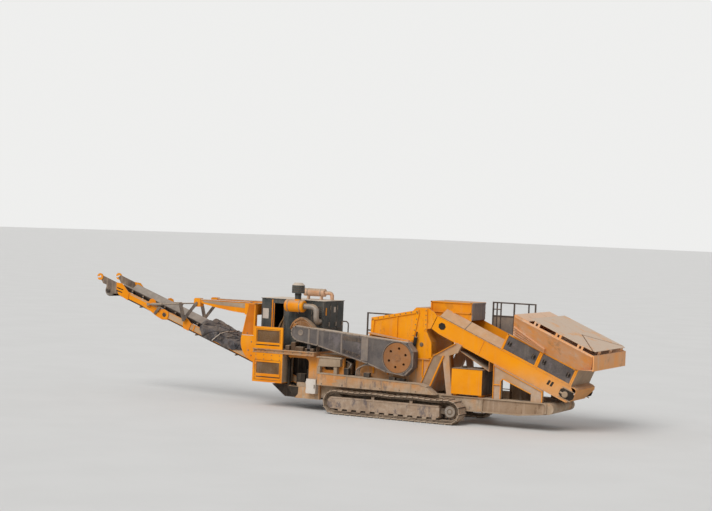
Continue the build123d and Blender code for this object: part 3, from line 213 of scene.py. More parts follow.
# Look: colour, second colour, dust, dust on top, rust, streaks, and what else differs
LOOKS = {
    "paint": (ORANGE, DEEP_ORANGE, 0.03, 0.7, 0.45, 0.1, dict(mottle=0.08, gloss=0.07)),
    "paint_worn": (ORANGE, DEEP_ORANGE, 0.04, 0.75, 0.7, 0.12, dict(mottle=0.1, gloss=0.07, flaked=0.34,
        under=(160, 98, 44), grain=(1.1, 1.1, 0.8))),
    # Darker orange copy of the paint: painted shade for faces that lie in shade.
    "painted_shade_orange": ((206, 112, 10), (186, 100, 14), 0.05, 0.7, 0.3, 0.1, dict(mottle=0.08, gloss=0.05)),
    "support": ((188, 140, 90), (170, 138, 110), 0.45, 0.95, 0.5, 0.45,
        dict(low=0.5, low_from=0.6, low_to=1.8, dust_colour=(178, 154, 132))),
    "paint_dusty": ((226, 140, 24), (190, 124, 60), 0.34, 0.95, 0.45, 0.45,
        dict(low=0.5, low_from=0.5, low_to=1.6)),
    "paint_feeder": (ORANGE, (234, 142, 10), 0.03, 0.9, 0.3, 0.05, dict(low=0.5, low_from=1.0, low_to=1.9,
        mottle=0.07, gloss=0.07)),
    "web": ((196, 158, 118), (176, 138, 96), 0.4, 0.9, 0.5, 0.35),
    "hopper": ((240, 158, 74), (224, 156, 98), 0.38, 0.9, 0.8, 0.4,
        dict(dust_colour=(222, 184, 154), flaked=0.5, under=(150, 118, 88), grain=(0.45, 0.45, 0.45))),
    "lid": ((214, 166, 118), (204, 172, 142), 0.5, 0.95, 0.9, 0.1,
        dict(dust_colour=(206, 182, 160), flaked=0.6, under=(222, 156, 92), grain=(0.7, 0.7, 0.7))),
    "chassis": ((206, 132, 52), (170, 128, 88), 0.42, 1.0, 0.6, 0.55,
        dict(low=0.75, low_from=0.55, low_to=1.2, dust_colour=(168, 144, 118), flaked=0.6)),
    "side_plate": ((218, 136, 30), (196, 124, 50), 0.28, 1.0, 0.6, 0.5,
        dict(low=0.5, low_from=0.4, low_to=1.3, dust_colour=(172, 146, 116), flaked=0.35)),
    "track_frame": ((150, 122, 94), (128, 108, 90), 0.5, 1.0, 0.6, 0.5,
        dict(low=0.5, dust_colour=(160, 136, 114), flaked=0.7)),
    "grey": ((70, 65, 66), (90, 84, 82), 0.1, 0.95, 0.2, 0.16, dict(dust_colour=(176, 160, 142), mottle=0.2,
        flaked=0.4, under=(128, 118, 118), grain=(0.9, 0.9, 0.9))),
    "grey_band": ((108, 100, 96), (118, 109, 102), 0.25, 0.95, 0.15, 0.3),
    "dark": ((44, 52, 53), (56, 62, 62), 0.06, 1.0, 0.1, 0.1, dict(dust_colour=PALE_DUST, mottle=0.12)),
    "black": ((30, 30, 32), (44, 42, 41), 0.1, 0.6, 0.1, 0.1, dict(mottle=0.15)),
    "rail": ((56, 54, 56), (74, 70, 68), 0.12, 0.5, 0.25, 0.3, dict(mottle=0.15)),
    "walk": ((120, 112, 106), (104, 98, 94), 0.3, 0.9, 0.25, 0.3),
    "pale": ((214, 206, 196), (200, 190, 178), 0.2, 0.8, 0.15, 0.2),
    "steel": ((150, 142, 134), (120, 112, 104), 0.25, 0.7, 0.3, 0.3, dict(rough=0.42, metal=0.5)),
    "link": ((92, 82, 76), (74, 66, 62), 0.25, 0.8, 0.4, 0.3),
    "skirt": ((98, 84, 76), (82, 68, 60), 0.22, 0.7, 0.5, 0.3),
    "track": ((156, 130, 108), (132, 108, 90), 0.4, 0.8, 0.5, 0.3,
        dict(low=0.3, rough=0.6, metal=0.1, worn=(190, 172, 152), grit=0.7, dust_colour=(172, 152, 130))),
    "track_dark": ((58, 48, 42), (78, 64, 54), 0.2, 0.5, 0.4, 0.3, dict(low=0.15, rough=0.65, grit=0.7)),
    "disc": ((158, 102, 54), (136, 88, 50), 0.12, 0.5, 0.9, 0.05, dict(rough=0.6, metal=0.1)),
    "muffler": ((226, 196, 170), (196, 136, 90), 0.2, 0.95, 1.0, 0.3, dict(rough=0.6, metal=0.1, flaked=0.7,
        under=(176, 112, 58))),
    "engine": ((84, 66, 48), (136, 94, 46), 0.25, 0.6, 0.6, 0.3),
    "beam_web": ((150, 124, 98), (122, 98, 76), 0.3, 0.9, 0.9, 0.6,
        dict(dust_colour=(174, 148, 124), flaked=0.5, under=(104, 78, 58))),
    # Dark brown: grime, also used as painted shade on faces that lie in shade.
    "grime_and_shade": ((66, 48, 36), (88, 64, 44), 0.12, 0.6, 0.4, 0.2),
    "oily": ((176, 112, 44), (104, 72, 46), 0.16, 0.7, 0.9, 0.3, dict(flaked=0.7, under=(70, 54, 42))),
    "machinery": ((92, 70, 50), (126, 90, 54), 0.2, 0.6, 0.9, 0.3),
    "rubber": ((120, 110, 102), (104, 96, 90), 0.22, 0.5, 0.0, 0.1,
        dict(rough=0.85, wear=False, dust_colour=(160, 148, 136))),
    "curtain": ((112, 106, 108), (132, 124, 124), 0.15, 0.5, 0.0, 0.4, dict(rough=0.8, wear=False)),
    "mesh": ((150, 108, 62), (120, 90, 60), 0.2, 0.4, 0.3, 0.3, dict(wear=False)),
    "casting": ((158, 134, 108), (140, 120, 98), 0.45, 0.95, 0.4, 0.3),
    "bolt": ((112, 94, 78), (88, 74, 62), 0.3, 0.6, 0.5, 0.3, dict(metal=0.3, wear=False)),
    # Near black: dark joints, and painted shade where it fills grooves, ports, slots and recesses.
    "dark_joints_and_shade": ((24, 22, 20), (34, 30, 27), 0.05, 0.4, 0.0, 0.3, dict(wear=False, mottle=0.1)),
}
M = {}
for name, (colour, second, dust, top, rust, streaks, *more) in LOOKS.items():
    M[name] = weathered(name, colour, second, dust, top, rust, streaks, **(more[0] if more else {}))
M["cloth"] = woven("cloth", (82, 77, 78), (40, 38, 42), 160, 0.26)

NODE_LOOKS = {
    "paint": "gantry screen_box screen_door upper_screen air_cleaner conveyor_head_frame "
        "conveyor_tail_frame hydraulic_tank",
    "paint_worn": "inlet_hood crusher_upper crusher_front",
    "paint_feeder": "feeder_frame hopper_body",
    "paint_dusty": "crusher_lower feeder_pan",
    "support": "feeder_supports",
    "link": "hanger_links",
    "chassis": "chassis_frame power_deck",
    "side_plate": "side_plates",
    "hopper": "hopper_walls",
    "lid": "side_flap_near side_flap_far rear_flap",
    "track_frame": "track_frames",
    "grey": "drive_guard cover_panels",
    "dark": "canopy rain_cap",
    "rail": "crusher_walkway feeder_walkway",
    "pale": "control_box control_box_door",
    "black": "bend_guard",
    "skirt": "conveyor_skirts",
    "machinery": "tail_cabinet",
    "steel": "intake_pipe drums fold_rams",
    "track": "track_chain_near track_chain_far",
    "track_dark": "track_wheels",
    "disc": "drive_pulley",
    "muffler": "exhaust",
    "engine": "engine",
    "rubber": "conveyor_belt feeder_belt",
    "curtain": "inlet_curtain",
}
for look, names in NODE_LOOKS.items():
    for name in names.split():
        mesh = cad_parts[name].data
        mesh.materials.clear()
        mesh.materials.append(M[look])


# Geometry
NEAR, FAR, UP, RIGHT, LEFT = (0, -1, 0), (0, 1, 0), (0, 0, 1), (1, 0, 0), (-1, 0, 0)


def sides(low, high):
    """Sign and y range between two distances from the middle plane, first on the near side."""
    for sign in (-1, 1):
        yield (sign, *sorted((sign * low, sign * high)))


def box(a0, a1, b0, b1):
    """Outline of a rectangle."""
    return [(a0, b0), (a1, b0), (a1, b1), (a0, b1)]


def circle(a, b, radius, count, start=0.0):
    """Points round a centre."""
    return [(a + radius * cos(t), b + radius * sin(t))
        for t in (tau * k / count + start for k in range(count))]


class Piece:
    """Gathers solids into one mesh that rides on a body."""

    def __init__(self, name, look, bevel=0.0, body="plant", smooth=False, place=plant):
        self.name, self.look, self.bevel, self.body, self.smooth = name, look, bevel, body, smooth
        self.place = place
        self.bm = bmesh.new()

    def add(self, points, faces):
        """Adds points and the faces between them."""
        verts = [self.bm.verts.new(p) for p in points]
        for face in faces:
            self.bm.faces.new([verts[n] for n in face])

    def plate(self, outline, y0, y1):
        """Flat outline in the (a, b) plane of the piece's frame, from y0 to y1."""
        count = len(outline)
        points = [self.place(a, y, b) for y in (y0, y1) for a, b in outline]
        faces = [tuple(range(count)), tuple(range(2 * count - 1, count - 1, -1))]
        faces += [(n, count + n, count + (n + 1) % count, (n + 1) % count) for n in range(count)]
        self.add(points, faces)

    def pair(self, low, high, *outlines):
        """Plates on both sides, between two distances from the middle plane."""
        for _, y0, y1 in sides(low, high):
            for outline in outlines:
                self.plate(outline, y0, y1)

    def block(self, a0, a1, y0, y1, b0, b1):
        """Box between two values of a, y and b."""
        self.plate(box(a0, a1, b0, b1), y0, y1)

    def ring(self, centre, side, up, radius, count):
        """Vertices round a centre."""
        turns = [tau * k / count for k in range(count)]
        return [self.bm.verts.new(centre + radius * (side * cos(t) + up * sin(t))) for t in turns]

    def skin(self, rings, closed=False):
        """Walls between rings of vertices, with flat ends unless the rings close."""
        for low, high in list(zip(rings, rings[1:])) + ([(rings[-1], rings[0])] if closed else []):
            for k in range(len(low)):
                m = (k + 1) % len(low)
                self.bm.faces.new((low[k], low[m], high[m], high[k]))
        if not closed:
            self.bm.faces.new(rings[0][::-1])
            self.bm.faces.new(rings[-1])

    def tube(self, path, radius, count=10, closed=False):
        """Round bar along points."""
        path = [Vector(p) for p in path]
        rings = []
        last = len(path) - 1
        side = None
        for n, p in enumerate(path):
            before = path[n - 1] if n or closed else p
            after = path[(n + 1) % len(path)] if n < last or closed else p
            way = (after - before).normalized()
            if side is None:
                side = way.orthogonal().normalized()
            side = (side - way * side.dot(way)).normalized()
            up = way.cross(side)
            rings.append(self.ring(p, side, up, radius, count))
        self.skin(rings, closed)

    def turned(self, centre, axis, profile, count=24):
        """Solid of revolution: profile is (distance along the axis, radius) pairs."""
        centre, axis = Vector(centre), Vector(axis).normalized()
        side = axis.orthogonal().normalized()
        up = axis.cross(side)
        self.skin([self.ring(centre + axis * along, side, up, radius, count) for along, radius in profile])

    def disc(self, centre, axis, thick, radius, count):
        """Flat round disc."""
        self.turned(centre, axis, [(0, radius), (thick, radius)], count)

    def bolt(self, centre, out, size=0.014, height=0.01):
        """Hexagon head on a washer."""
        out = Vector(out).normalized()
        profile = [(0, size * 1.5), (0.006, size * 1.5), (0.006, size), (0.006 + height, size * 0.95)]
        self.turned(Vector(centre) - out * 0.002, out, profile, 6)

    def done(self):
        """Makes the object."""
        bmesh.ops.recalc_face_normals(self.bm, faces=self.bm.faces)
        mesh = bpy.data.meshes.new(self.name)
        self.bm.to_mesh(mesh)
        self.bm.free()
        made = bpy.data.objects.new(self.name, mesh)
        bpy.context.scene.collection.objects.link(made)
        mesh.materials.append(M[self.look])
        if self.smooth:
            mesh.shade_smooth()
            mesh.set_sharp_from_angle(angle=radians(38))
        if self.bevel:
            edge = made.modifiers.new("edge", "BEVEL")
            edge.width, edge.segments = self.bevel, 2
            edge.limit_method, edge.angle_limit = "ANGLE", radians(40)
        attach(made, self.body)
        return made


def boxes(name, look, bevel, *rows, body="plant", place=plant):
    """Piece made of boxes; a row holds two values along each axis of the frame."""
    piece = Piece(name, look, bevel, body, place=place)
    for row in rows:
        piece.block(*row)
    piece.done()


def pairs(name, look, bevel, place, low, high, *outlines):
    """Piece made of plates on both sides, between two distances from the middle plane."""
    piece = Piece(name, look, bevel, place=place)
    piece.pair(low, high, *outlines)
    piece.done()


def rounded(corners, radius, steps=5):
    """Points along straight runs with rounded corners."""
    path = [corners[0]]
    for before, corner, after in zip(corners, corners[1:], corners[2:]):
        a, b = before - corner, after - corner
        reach = min(radius, a.length * 0.49, b.length * 0.49)
        start, end = corner + a.normalized() * reach, corner + b.normalized() * reach
        for k in range(steps + 1):
            t = k / steps
            path.append((1 - t) ** 2 * start + 2 * t * (1 - t) * corner + t ** 2 * end)
    return path + [corners[-1]]


bolts = Piece("plant_bolts", "bolt")


def bolt_row(place, start, end, y, out, step, size):
    """Row of bolts between two (a, b) points of a frame."""
    (a0, b0), (a1, b1) = start, end
    count = max(1, round(((a1 - a0) ** 2 + (b1 - b0) ** 2) ** 0.5 / step))
    for n in range(count + 1):
        t = n / count
        bolts.bolt(place(a0 + (a1 - a0) * t, y, b0 + (b1 - b0) * t), out, size)


MESH_PITCH, WIRE = 0.022, 0.0026


def wire_mesh(name, body, a, b, y):
    """Piece of crossing wires in a rectangle of the (x, z) plane."""
    piece = Piece(name, "mesh", body=body)
    for low, high, upright in ((*a, True), (*b, False)):
        count = round((high - low) / MESH_PITCH)
        for c in (low + (high - low) * n / count for n in range(1, count)):
            if upright:
                piece.block(c - WIRE, c + WIRE, y - WIRE, y + WIRE, *b)
            else:
                piece.block(*a, y - 2.4 * WIRE, y - 0.4 * WIRE, c - WIRE, c + WIRE)
    piece.done()


# Drive guard: flange round the edge, cover bands, vents, ring, bolts and dusty top
GUARD = [(-3.27, 2.423), (-3.375, 2.375), (-3.43, 2.25), (-3.39, 2.105), (-3.25, 1.99), (-2.54, 1.885),
    (-0.93, 1.485), (-0.35, 1.29), (0.23, 1.22), (0.48, 1.475), (0.48, 1.915), (0.3, 2.17), (-1.21, 2.275)]
GUARD_Y = -1.17
PULLEY_X, PULLEY_Z = -0.02, 1.72


def inwards(outline, depth):
    """Outline moved in by this depth, for corners that run anticlockwise seen from the near side."""
    moved = []
    for n, (x, z) in enumerate(outline):
        here = Vector((x, z))
        before, after = Vector(outline[n - 1]), Vector(outline[(n + 1) % len(outline)])
        a, b = (here - before).normalized(), (after - here).normalized()
        normal = Vector((-a.y - b.y, a.x + b.x))
        moved.append(tuple(here + normal * depth / (1 + a.dot(b))))
    return moved


trim = Piece("guard_trim", "grey_band", 0.003)
inner = inwards(GUARD, 0.035)
for n, corner in enumerate(GUARD):
    m = (n + 1) % len(GUARD)
    trim.plate([corner, GUARD[m], inner[m], inner[n]], GUARD_Y, GUARD_Y - 0.01)
for x0, x1, z0, z1 in ((-2.86, -2.8, 1.945, 2.37), (-2.56, -2.51, 1.9, 2.35), (-1.14, -0.93, 1.56, 2.235),
        (-1.8, -1.75, 1.72, 2.29)):
    trim.plate([(x0, z0 + 0.015), (x1, z0), (x1, z1 - 0.005), (x0, z1)], GUARD_Y, GUARD_Y - 0.012)
trim.turned(plant(-3.1, GUARD_Y + 0.002, 2.235), NEAR, [(0, 0.085), (0.016, 0.085), (0.016, 0.06),
    (0.008, 0.055)], 28)
trim.tube([plant(x, GUARD_Y - 0.004, z) for x, z in circle(PULLEY_X, PULLEY_Z, 0.455, 48)], 0.011,
    6, closed=True)
trim.done()
vents = Piece("guard_vents", "black", 0.002)
VENT_X = (-1.73, -1.16)
for low, high in (((2.115, 2.075), (2.245, 2.205)), ((1.755, 1.615), (1.865, 1.735))):
    for k in range(6):
        (a0, a1), (b0, b1) = ([low[e] + (high[e] - low[e]) * t for e in (0, 1)]
            for t in (k / 6, (k + 0.55) / 6))
        vents.plate([(VENT_X[0], a0), (VENT_X[1], a1), (VENT_X[1], b1), (VENT_X[0], b0)], GUARD_Y,
            GUARD_Y - 0.006)
vents.done()
middle = inwards(GUARD, 0.018)
for n in range(len(GUARD)):
    bolt_row(plant, middle[n], middle[(n + 1) % len(GUARD)], GUARD_Y - 0.01, NEAR, 0.22, 0.01)
ledge = Piece("guard_ledge", "pale", 0.002)
for (x0, z0), (x1, z1) in ((GUARD[0], GUARD[-1]), (GUARD[-1], GUARD[-2])):
    ledge.plate([(x0, z0), (x1, z1), (x1, z1 + 0.008), (x0, z0 + 0.008)], GUARD_Y - 0.012, GUARD_Y + 0.29)
ledge.done()

hub = Piece("pulley_hub", "disc", body="pulley", smooth=True)
hub.turned(plant(PULLEY_X, -1.168, PULLEY_Z), NEAR, [(0, 0.11), (0.012, 0.11), (0.014, 0.06), (0.02, 0.055),
    (0.022, 0.02)], 32)
for x, z in circle(PULLEY_X, PULLEY_Z, 0.085, 8):
    hub.bolt(plant(x, -1.18, z), NEAR, 0.009)
hub.done()

# Hump of the drive's upper cover behind the guard
HUMP = [(-3.5, 2.2), (-3.54, 2.34), (-3.47, 2.48), (-3.36, 2.58), (-3.22, 2.65), (-3.12, 2.63),
    (-2.97, 2.54), (-2.78, 2.38), (-2.78, 2.2)]
hump = Piece("clutch_cover", "oily", 0.01)
hump.plate(HUMP, -0.99, -0.78)
rim = [(a, b + 0.02) for a, b in HUMP[1:-1]] + [(a, b - 0.05) for a, b in HUMP[-2:0:-1]]
hump.plate(rim, -1.02, -0.77)
hump.plate([(-3.14, 2.56), (-2.99, 2.53), (-2.8, 2.37), (-2.88, 2.3), (-3.04, 2.38)], -1.04, -1.0)
hump.plate([(-3.46, 2.3), (-3.36, 2.3), (-3.3, 2.47), (-3.4, 2.5)], -1.05, -0.99)
hump.done()

# Canopy: panel seams, louvres, hinges, handles, corner strips and plates
CANOPY_Y, CANOPY_END = -0.75, -2.6
LOW_SEAM, HIGH_SEAM = 1.72, 3.11
seams = Piece("canopy_trim", "black", 0.003)
for x in (-4.32, -3.86, -3.42, -2.98):
    seams.block(x - 0.008, x + 0.008, CANOPY_Y - 0.006, CANOPY_Y, LOW_SEAM, HIGH_SEAM)
for y in (-0.32, 0.12):
    seams.block(CANOPY_END, CANOPY_END + 0.006, y - 0.008, y + 0.008, LOW_SEAM, HIGH_SEAM)
for x0, x1, z0, z1 in ((-2.94, -2.66, 2.45, 3.02), (-3.38, -3.02, 1.85, 2.05)):
    for k in range(10):
        z = z0 + (z1 - z0) * k / 10
        seams.block(x0, x1, CANOPY_Y - 0.012, CANOPY_Y, z, z + (z1 - z0) / 18)
HEAD_LOUVRES = (1.86, 0.06, 0.032, CANOPY_END, CANOPY_END + 0.012,
    ((-0.65, -0.41), (-0.23, 0.03), (0.21, 0.45)))
TAIL_LOUVRES = (1.95, 0.1, 0.05, -4.652, -4.64, ((-0.6, -0.05), (0.05, 0.45)))
for low, step, high, x0, x1, ranges in (HEAD_LOUVRES, TAIL_LOUVRES):
    for y0, y1 in ranges:
        for z in (low + step * k for k in range(9)):
            seams.block(x0, x1, y0, y1, z, z + high)
for x0 in (-4.2, -3.3):
    for z in (2.0 + 0.09 * k for k in range(8)):
        seams.block(x0, x0 + 0.62, 0.55, 0.562, z, z + 0.045)
seams.done()
boxes("canopy_edges", "paint", 0.003, (-4.3, -4.262, CANOPY_Y - 0.012, CANOPY_Y, 2.3, 3.12),
    (-4.232, -4.21, CANOPY_Y - 0.006, CANOPY_Y + 0.04, 1.83, 3.02), (CANOPY_END, CANOPY_END + 0.01, -0.62,
    -0.56, 2.74, 2.96))
boxes("canopy_plates", "pale", 0.004, (-4.6, -4.4, CANOPY_Y - 0.01, CANOPY_Y, 2.55, 2.85),
    (CANOPY_END, CANOPY_END + 0.008, -0.1, 0.02, 2.82, 2.98))
hinges = Piece("canopy_hinges", "steel", 0.003)
HINGES = [(x + 0.02, CANOPY_Y - 0.01, z) for x in (-3.44, -3.0) for z in (1.95, 2.75)]
HINGES += [(CANOPY_END + 0.012, y + 0.02, z) for y in (-0.34, 0.1) for z in (1.95, 2.9)]
for x, y, z in HINGES:
    hinges.tube([plant(x, y, z), plant(x, y, z + 0.12)], 0.012, 8)
for y in (-0.4, 0.04, 0.46):
    hinges.block(CANOPY_END, CANOPY_END + 0.03, y - 0.02, y + 0.02, 2.42, 2.54)
hinges.done()

# Engine bay: pipes and a filter seen through the doorway
bay = Piece("engine_pipes", "engine", smooth=True)
for x, y in ((-4.12, -0.62), (-4.02, -0.55), (-3.95, -0.6)):
    bay.tube(rounded([plant(x, y, 1.72), plant(x, y, 2.35), plant(x + 0.12, y + 0.12, 2.6),
        plant(x + 0.1, y + 0.1, 3.0)], 0.15), 0.024, 8)
bay.turned(plant(-4.05, -0.46, 2.15), UP, [(0, 0.06), (0.02, 0.085), (0.32, 0.085), (0.36, 0.03)], 20)
bay.done()

# Air cleaner: bands, end cap and clamps on its pipe. Rain cap: rings. Silencer: straps
CLEANER_Y, CLEANER_Z = -1.0, 2.99
SILENCER_Z = 3.368
bands = Piece("cleaner_bands", "steel", 0.002)
for x in (-3.6, -3.22):
    bands.disc(plant(x, CLEANER_Y, CLEANER_Z), RIGHT, 0.03, 0.182, 32)
bands.disc(plant(-3.098, CLEANER_Y, CLEANER_Z), LEFT, 0.02, 0.1, 24)
bands.disc(plant(-2.72, -0.99, 2.84), UP, 0.025, 0.086, 20)
bands.disc(plant(-2.95, CLEANER_Y, CLEANER_Z), RIGHT, 0.025, 0.086, 20)
bands.done()
cap_rings = Piece("cap_rings", "black", 0.003)
for z in (3.4, 3.46, 3.52):
    cap_rings.disc(plant(-3.32, CLEANER_Y, z), UP, 0.022, 0.189, 32)
cap_rings.disc(plant(-3.32, CLEANER_Y, 3.3), UP, 0.03, 0.1, 24)
cap_rings.done()
straps = Piece("silencer_straps", "steel", 0.002)
for x in (-3.515, -3.085):
    straps.disc(plant(x, 0, SILENCER_Z), RIGHT, 0.03, 0.119, 28)
straps.turned(plant(-3.63, 0, SILENCER_Z), LEFT, [(-0.012, 0.1), (0.012, 0.07)], 24)
straps.done()

# Screens: wire mesh with a dark plate behind it, and near-black strips in the frames' grooves as painted
# shade
wire_mesh("screen_mesh", "plant", (-4.49, -3.74), (1.89, 2.24), -1.222)
wire_mesh("door_mesh", "door_screen", (-4.48, -3.72), (0.98, 1.31), -1.226)
boxes("upper_screen_back", "machinery", 0.002, (-4.495, -3.735, -1.212, -1.208, 1.885, 2.245))
boxes("door_back", "machinery", 0.002, (-4.485, -3.715, -1.218, -1.214, 0.975, 1.315), body="door_screen")
GROOVE = (-1.2515, -1.249)
boxes("screen_grooves", "dark_joints_and_shade", 0.0, (-4.52, -3.73, *GROOVE, 1.795, 1.825),
    (-4.515, -4.505, *GROOVE, 1.86, 2.27), (-3.725, -3.715, *GROOVE, 1.86, 2.27),
    (-4.515, -3.715, *GROOVE, 2.262, 2.272))
boxes("door_grooves", "dark_joints_and_shade", 0.0, (-4.5, -3.7, *GROOVE, 0.865, 0.895),
    (-4.512, -4.5, *GROOVE, 0.86, 1.33), (-3.7, -3.69, *GROOVE, 0.86, 1.33), body="door_screen")
boxes("screen_box_trim", "casting", 0.004, (-3.62, -3.612, -1.24, -0.58, 0.75, 1.56))
boxes("deck_trim", "chassis", 0.004, (-4.62, -2.6, -1.262, -1.25, 1.672, 1.7),
    (-4.62, -2.6, -1.262, -1.25, 1.58, 1.602), (-2.62, -2.605, -1.25, 1.25, 1.58, 1.7))
bolt_row(plant, (-4.52, 1.64), (-2.7, 1.64), -1.226, NEAR, 0.3, 0.012)
for z in (1.4, 1.52):
    bolt_row(plant, (-4.5, z), (-3.72, z), -1.25, NEAR, 0.26, 0.01)

# Painted shade: near-black sheets and blocks behind the side plate's window and on the plate's corner, for
# the shade under the deck; then equipment on and under the deck
shade_sheets = Piece("deck_painted_shade", "dark_joints_and_shade", 0.004)
for row in ((-4.3, -2.62, -0.46, -0.43, 0.66, 1.57), (-3.4, -2.7, -0.6, -0.46, 0.7, 0.95),
        (-2.62, -1.5, -0.64, -0.6, 0.79, 1.57), (-3.34, -3.06, -0.86, -0.62, 0.67, 1.02),
        (-3.02, -2.84, -0.84, -0.62, 0.67, 1.16), (-3.552, -3.498, -1.002, -0.9, 0.66, 1.49)):
    shade_sheets.block(*row)
shade_sheets.plate([(-3.548, 0.64), (-3.3, 0.333), (-3.2, 0.45), (-3.19, 0.655), (-3.548, 0.655)], -1.002, -1.0)
shade_sheets.done()
# Blocks on the deck in dark brown, which stands for grime and painted shade.
boxes("deck_machinery", "grime_and_shade", 0.02, (-3.6, -3.46, -1.16, -0.8, 1.7, 1.84),
    (-3.44, -3.3, -1.1, -0.8, 1.7, 1.94), (-3.28, -3.02, -1.14, -0.8, 1.7, 1.82),
    (-2.98, -2.7, -1.12, -0.8, 1.7, 1.79), (-2.68, -2.64, -1.0, -0.8, 1.7, 1.85))
boxes("deck_gear", "machinery", 0.01, (-1.74, -1.56, -0.86, -0.62, 1.12, 1.44),
    (-2.38, -2.12, -0.86, -0.62, 1.12, 1.28), (2.8, 3.12, -0.5, -0.26, 0.765, 0.97),
    (2.8, 3.12, -0.46, -0.44, 1.02, 1.045), (2.875, 2.9, -0.46, -0.44, 0.965, 1.4))

# Casting on two legs beside the deck, and blocks and pipes over the side beam
casting = Piece("deck_casting", "casting", 0.012)
casting.plate([(-2.52, 1.3), (-2.46, 1.545), (-1.8, 1.57), (-1.8, 1.33)], -1.16, -0.91)
casting.block(-2.56, -1.76, -1.18, -0.9, 1.55, 1.59)
for x0, x1 in ((-2.01, -1.9), (-2.54, -2.44)):
    casting.block(x0, x1, -1.15, -0.93, 1.105, 1.31)
casting.done()
boxes("valve_blocks", "black", 0.006, (-1.72, -1.58, -1.06, -0.92, 1.11, 1.3),
    (-1.1, -0.92, -1.06, -0.92, 1.1, 1.22), (-0.3, -0.12, -1.06, -0.92, 1.04, 1.16),
    (-0.06, 0.18, -1.06, -0.92, 1.03, 1.14))
pipes = Piece("hydraulic_pipes", "steel", smooth=True)
for k in range(3):
    x, y = -1.35 + 0.03 * k, -1.02 + 0.045 * k
    pipes.tube(rounded([plant(x, y, 1.11), plant(x, y, 1.3 + 0.03 * k), plant(-1.05, y, 1.46 + 0.02 * k),
        plant(-0.8, y, 1.42 + 0.02 * k)], 0.14), 0.017, 8)
    pipes.tube(rounded([plant(-1.65, y, 1.24), plant(-1.5, y, 1.42), plant(-1.72, -0.9, 1.5)],
        0.1), 0.015, 8)
pipes.done()

# Chassis: round-ended webs, flange strips and stiffeners on the beams, and the side beams' edge
BEAM_Y, SIDE_BEAM_Y = 0.9, 1.2
flanges = Piece("beam_flanges", "casting", 0.004)
END_ARC = [(4.24 + 0.11 * sin(t), 0.615 - 0.135 * cos(t)) for t in (pi * k / 10 for k in range(11))]
flanges.pair(BEAM_Y, BEAM_Y + 0.04, box(1.25, 4.34, 0.75, 0.782),
    [(1.45, 0.378), (3.57, 0.378), (4.36, 0.465), (4.36, 0.5), (3.57, 0.412), (1.45, 0.412)],
    END_ARC + [(4.37, 0.76), (4.37, 0.47)], box(2.48, 2.51, 0.4, 0.76))
flanges.pair(SIDE_BEAM_Y - 0.29, SIDE_BEAM_Y + 0.012, [(-2.5, 1.1), (0.7, 1.02), (0.93, 0.955),
    (0.93, 0.985), (0.7, 1.05), (-2.5, 1.13)])
flanges.pair(SIDE_BEAM_Y, SIDE_BEAM_Y + 0.01,
    *(box(x - 0.012, x + 0.012, 0.78, 1.1 - (x + 2.5) * 0.08 / 3.2) for x in (-1.55, -0.45, 0.45)))
flanges.done()
pairs("beam_webs", "beam_web", 0.001, plant, BEAM_Y, BEAM_Y + 0.002,
    [(2.51, 0.405), (3.57, 0.41), (4.3, 0.49), (4.345, 0.57), (4.345, 0.66), (4.28, 0.752), (2.51, 0.752)])
for x in (-2.35, -1.7, -1.1, -0.5, 0.1, 0.6):
    bolts.bolt(plant(x, -SIDE_BEAM_Y, 0.82), NEAR)
    bolts.bolt(plant(x, SIDE_BEAM_Y, 0.82), FAR)
bare = Piece("beam_paint", "side_plate", 0.0005)
bare.plate([(-2.49, 0.79), (-1.98, 0.79), (-2.02, 0.86), (-1.84, 0.9), (-1.92, 0.96), (-1.66, 1.0),
    (-1.58, 1.074), (-2.49, 1.097)], -1.202, -1.2)
bare.done()

# Tracks: link plates with pins on the chain, bolts and joints of the shoes, roller guards, drive bolts
FLOOR_RADIUS, HALF_RUN, IDLER_X, SPROCKET_X, WHEEL_Z = 0.313, 1.77, -1.835, 1.705, 0.355
SHOES, SAG, TRACK_Y = 50, 0.022, 1.2
PITCH = (4 * HALF_RUN + tau * FLOOR_RADIUS) / SHOES


def track_point(distance):
    """Station, height and heading on the seat of the shoes."""
    run, turn = 2 * HALF_RUN, pi * FLOOR_RADIUS
    distance %= 2 * (run + turn)
    if distance < run:
        return IDLER_X + distance, WHEEL_Z - FLOOR_RADIUS, 0.0
    if distance < run + turn:
        a = (distance - run) / FLOOR_RADIUS
        return SPROCKET_X + FLOOR_RADIUS * sin(a), WHEEL_Z - FLOOR_RADIUS * cos(a), a
    if distance < 2 * run + turn:
        back = distance - run - turn
        sag = SAG * sin(pi * (back % (run / 3)) / (run / 3)) ** 2
        return SPROCKET_X - back, WHEEL_Z + FLOOR_RADIUS - sag, pi
    a = (distance - 2 * run - turn) / FLOOR_RADIUS
    return IDLER_X - FLOOR_RADIUS * sin(a), WHEEL_Z + FLOOR_RADIUS * cos(a), pi + a


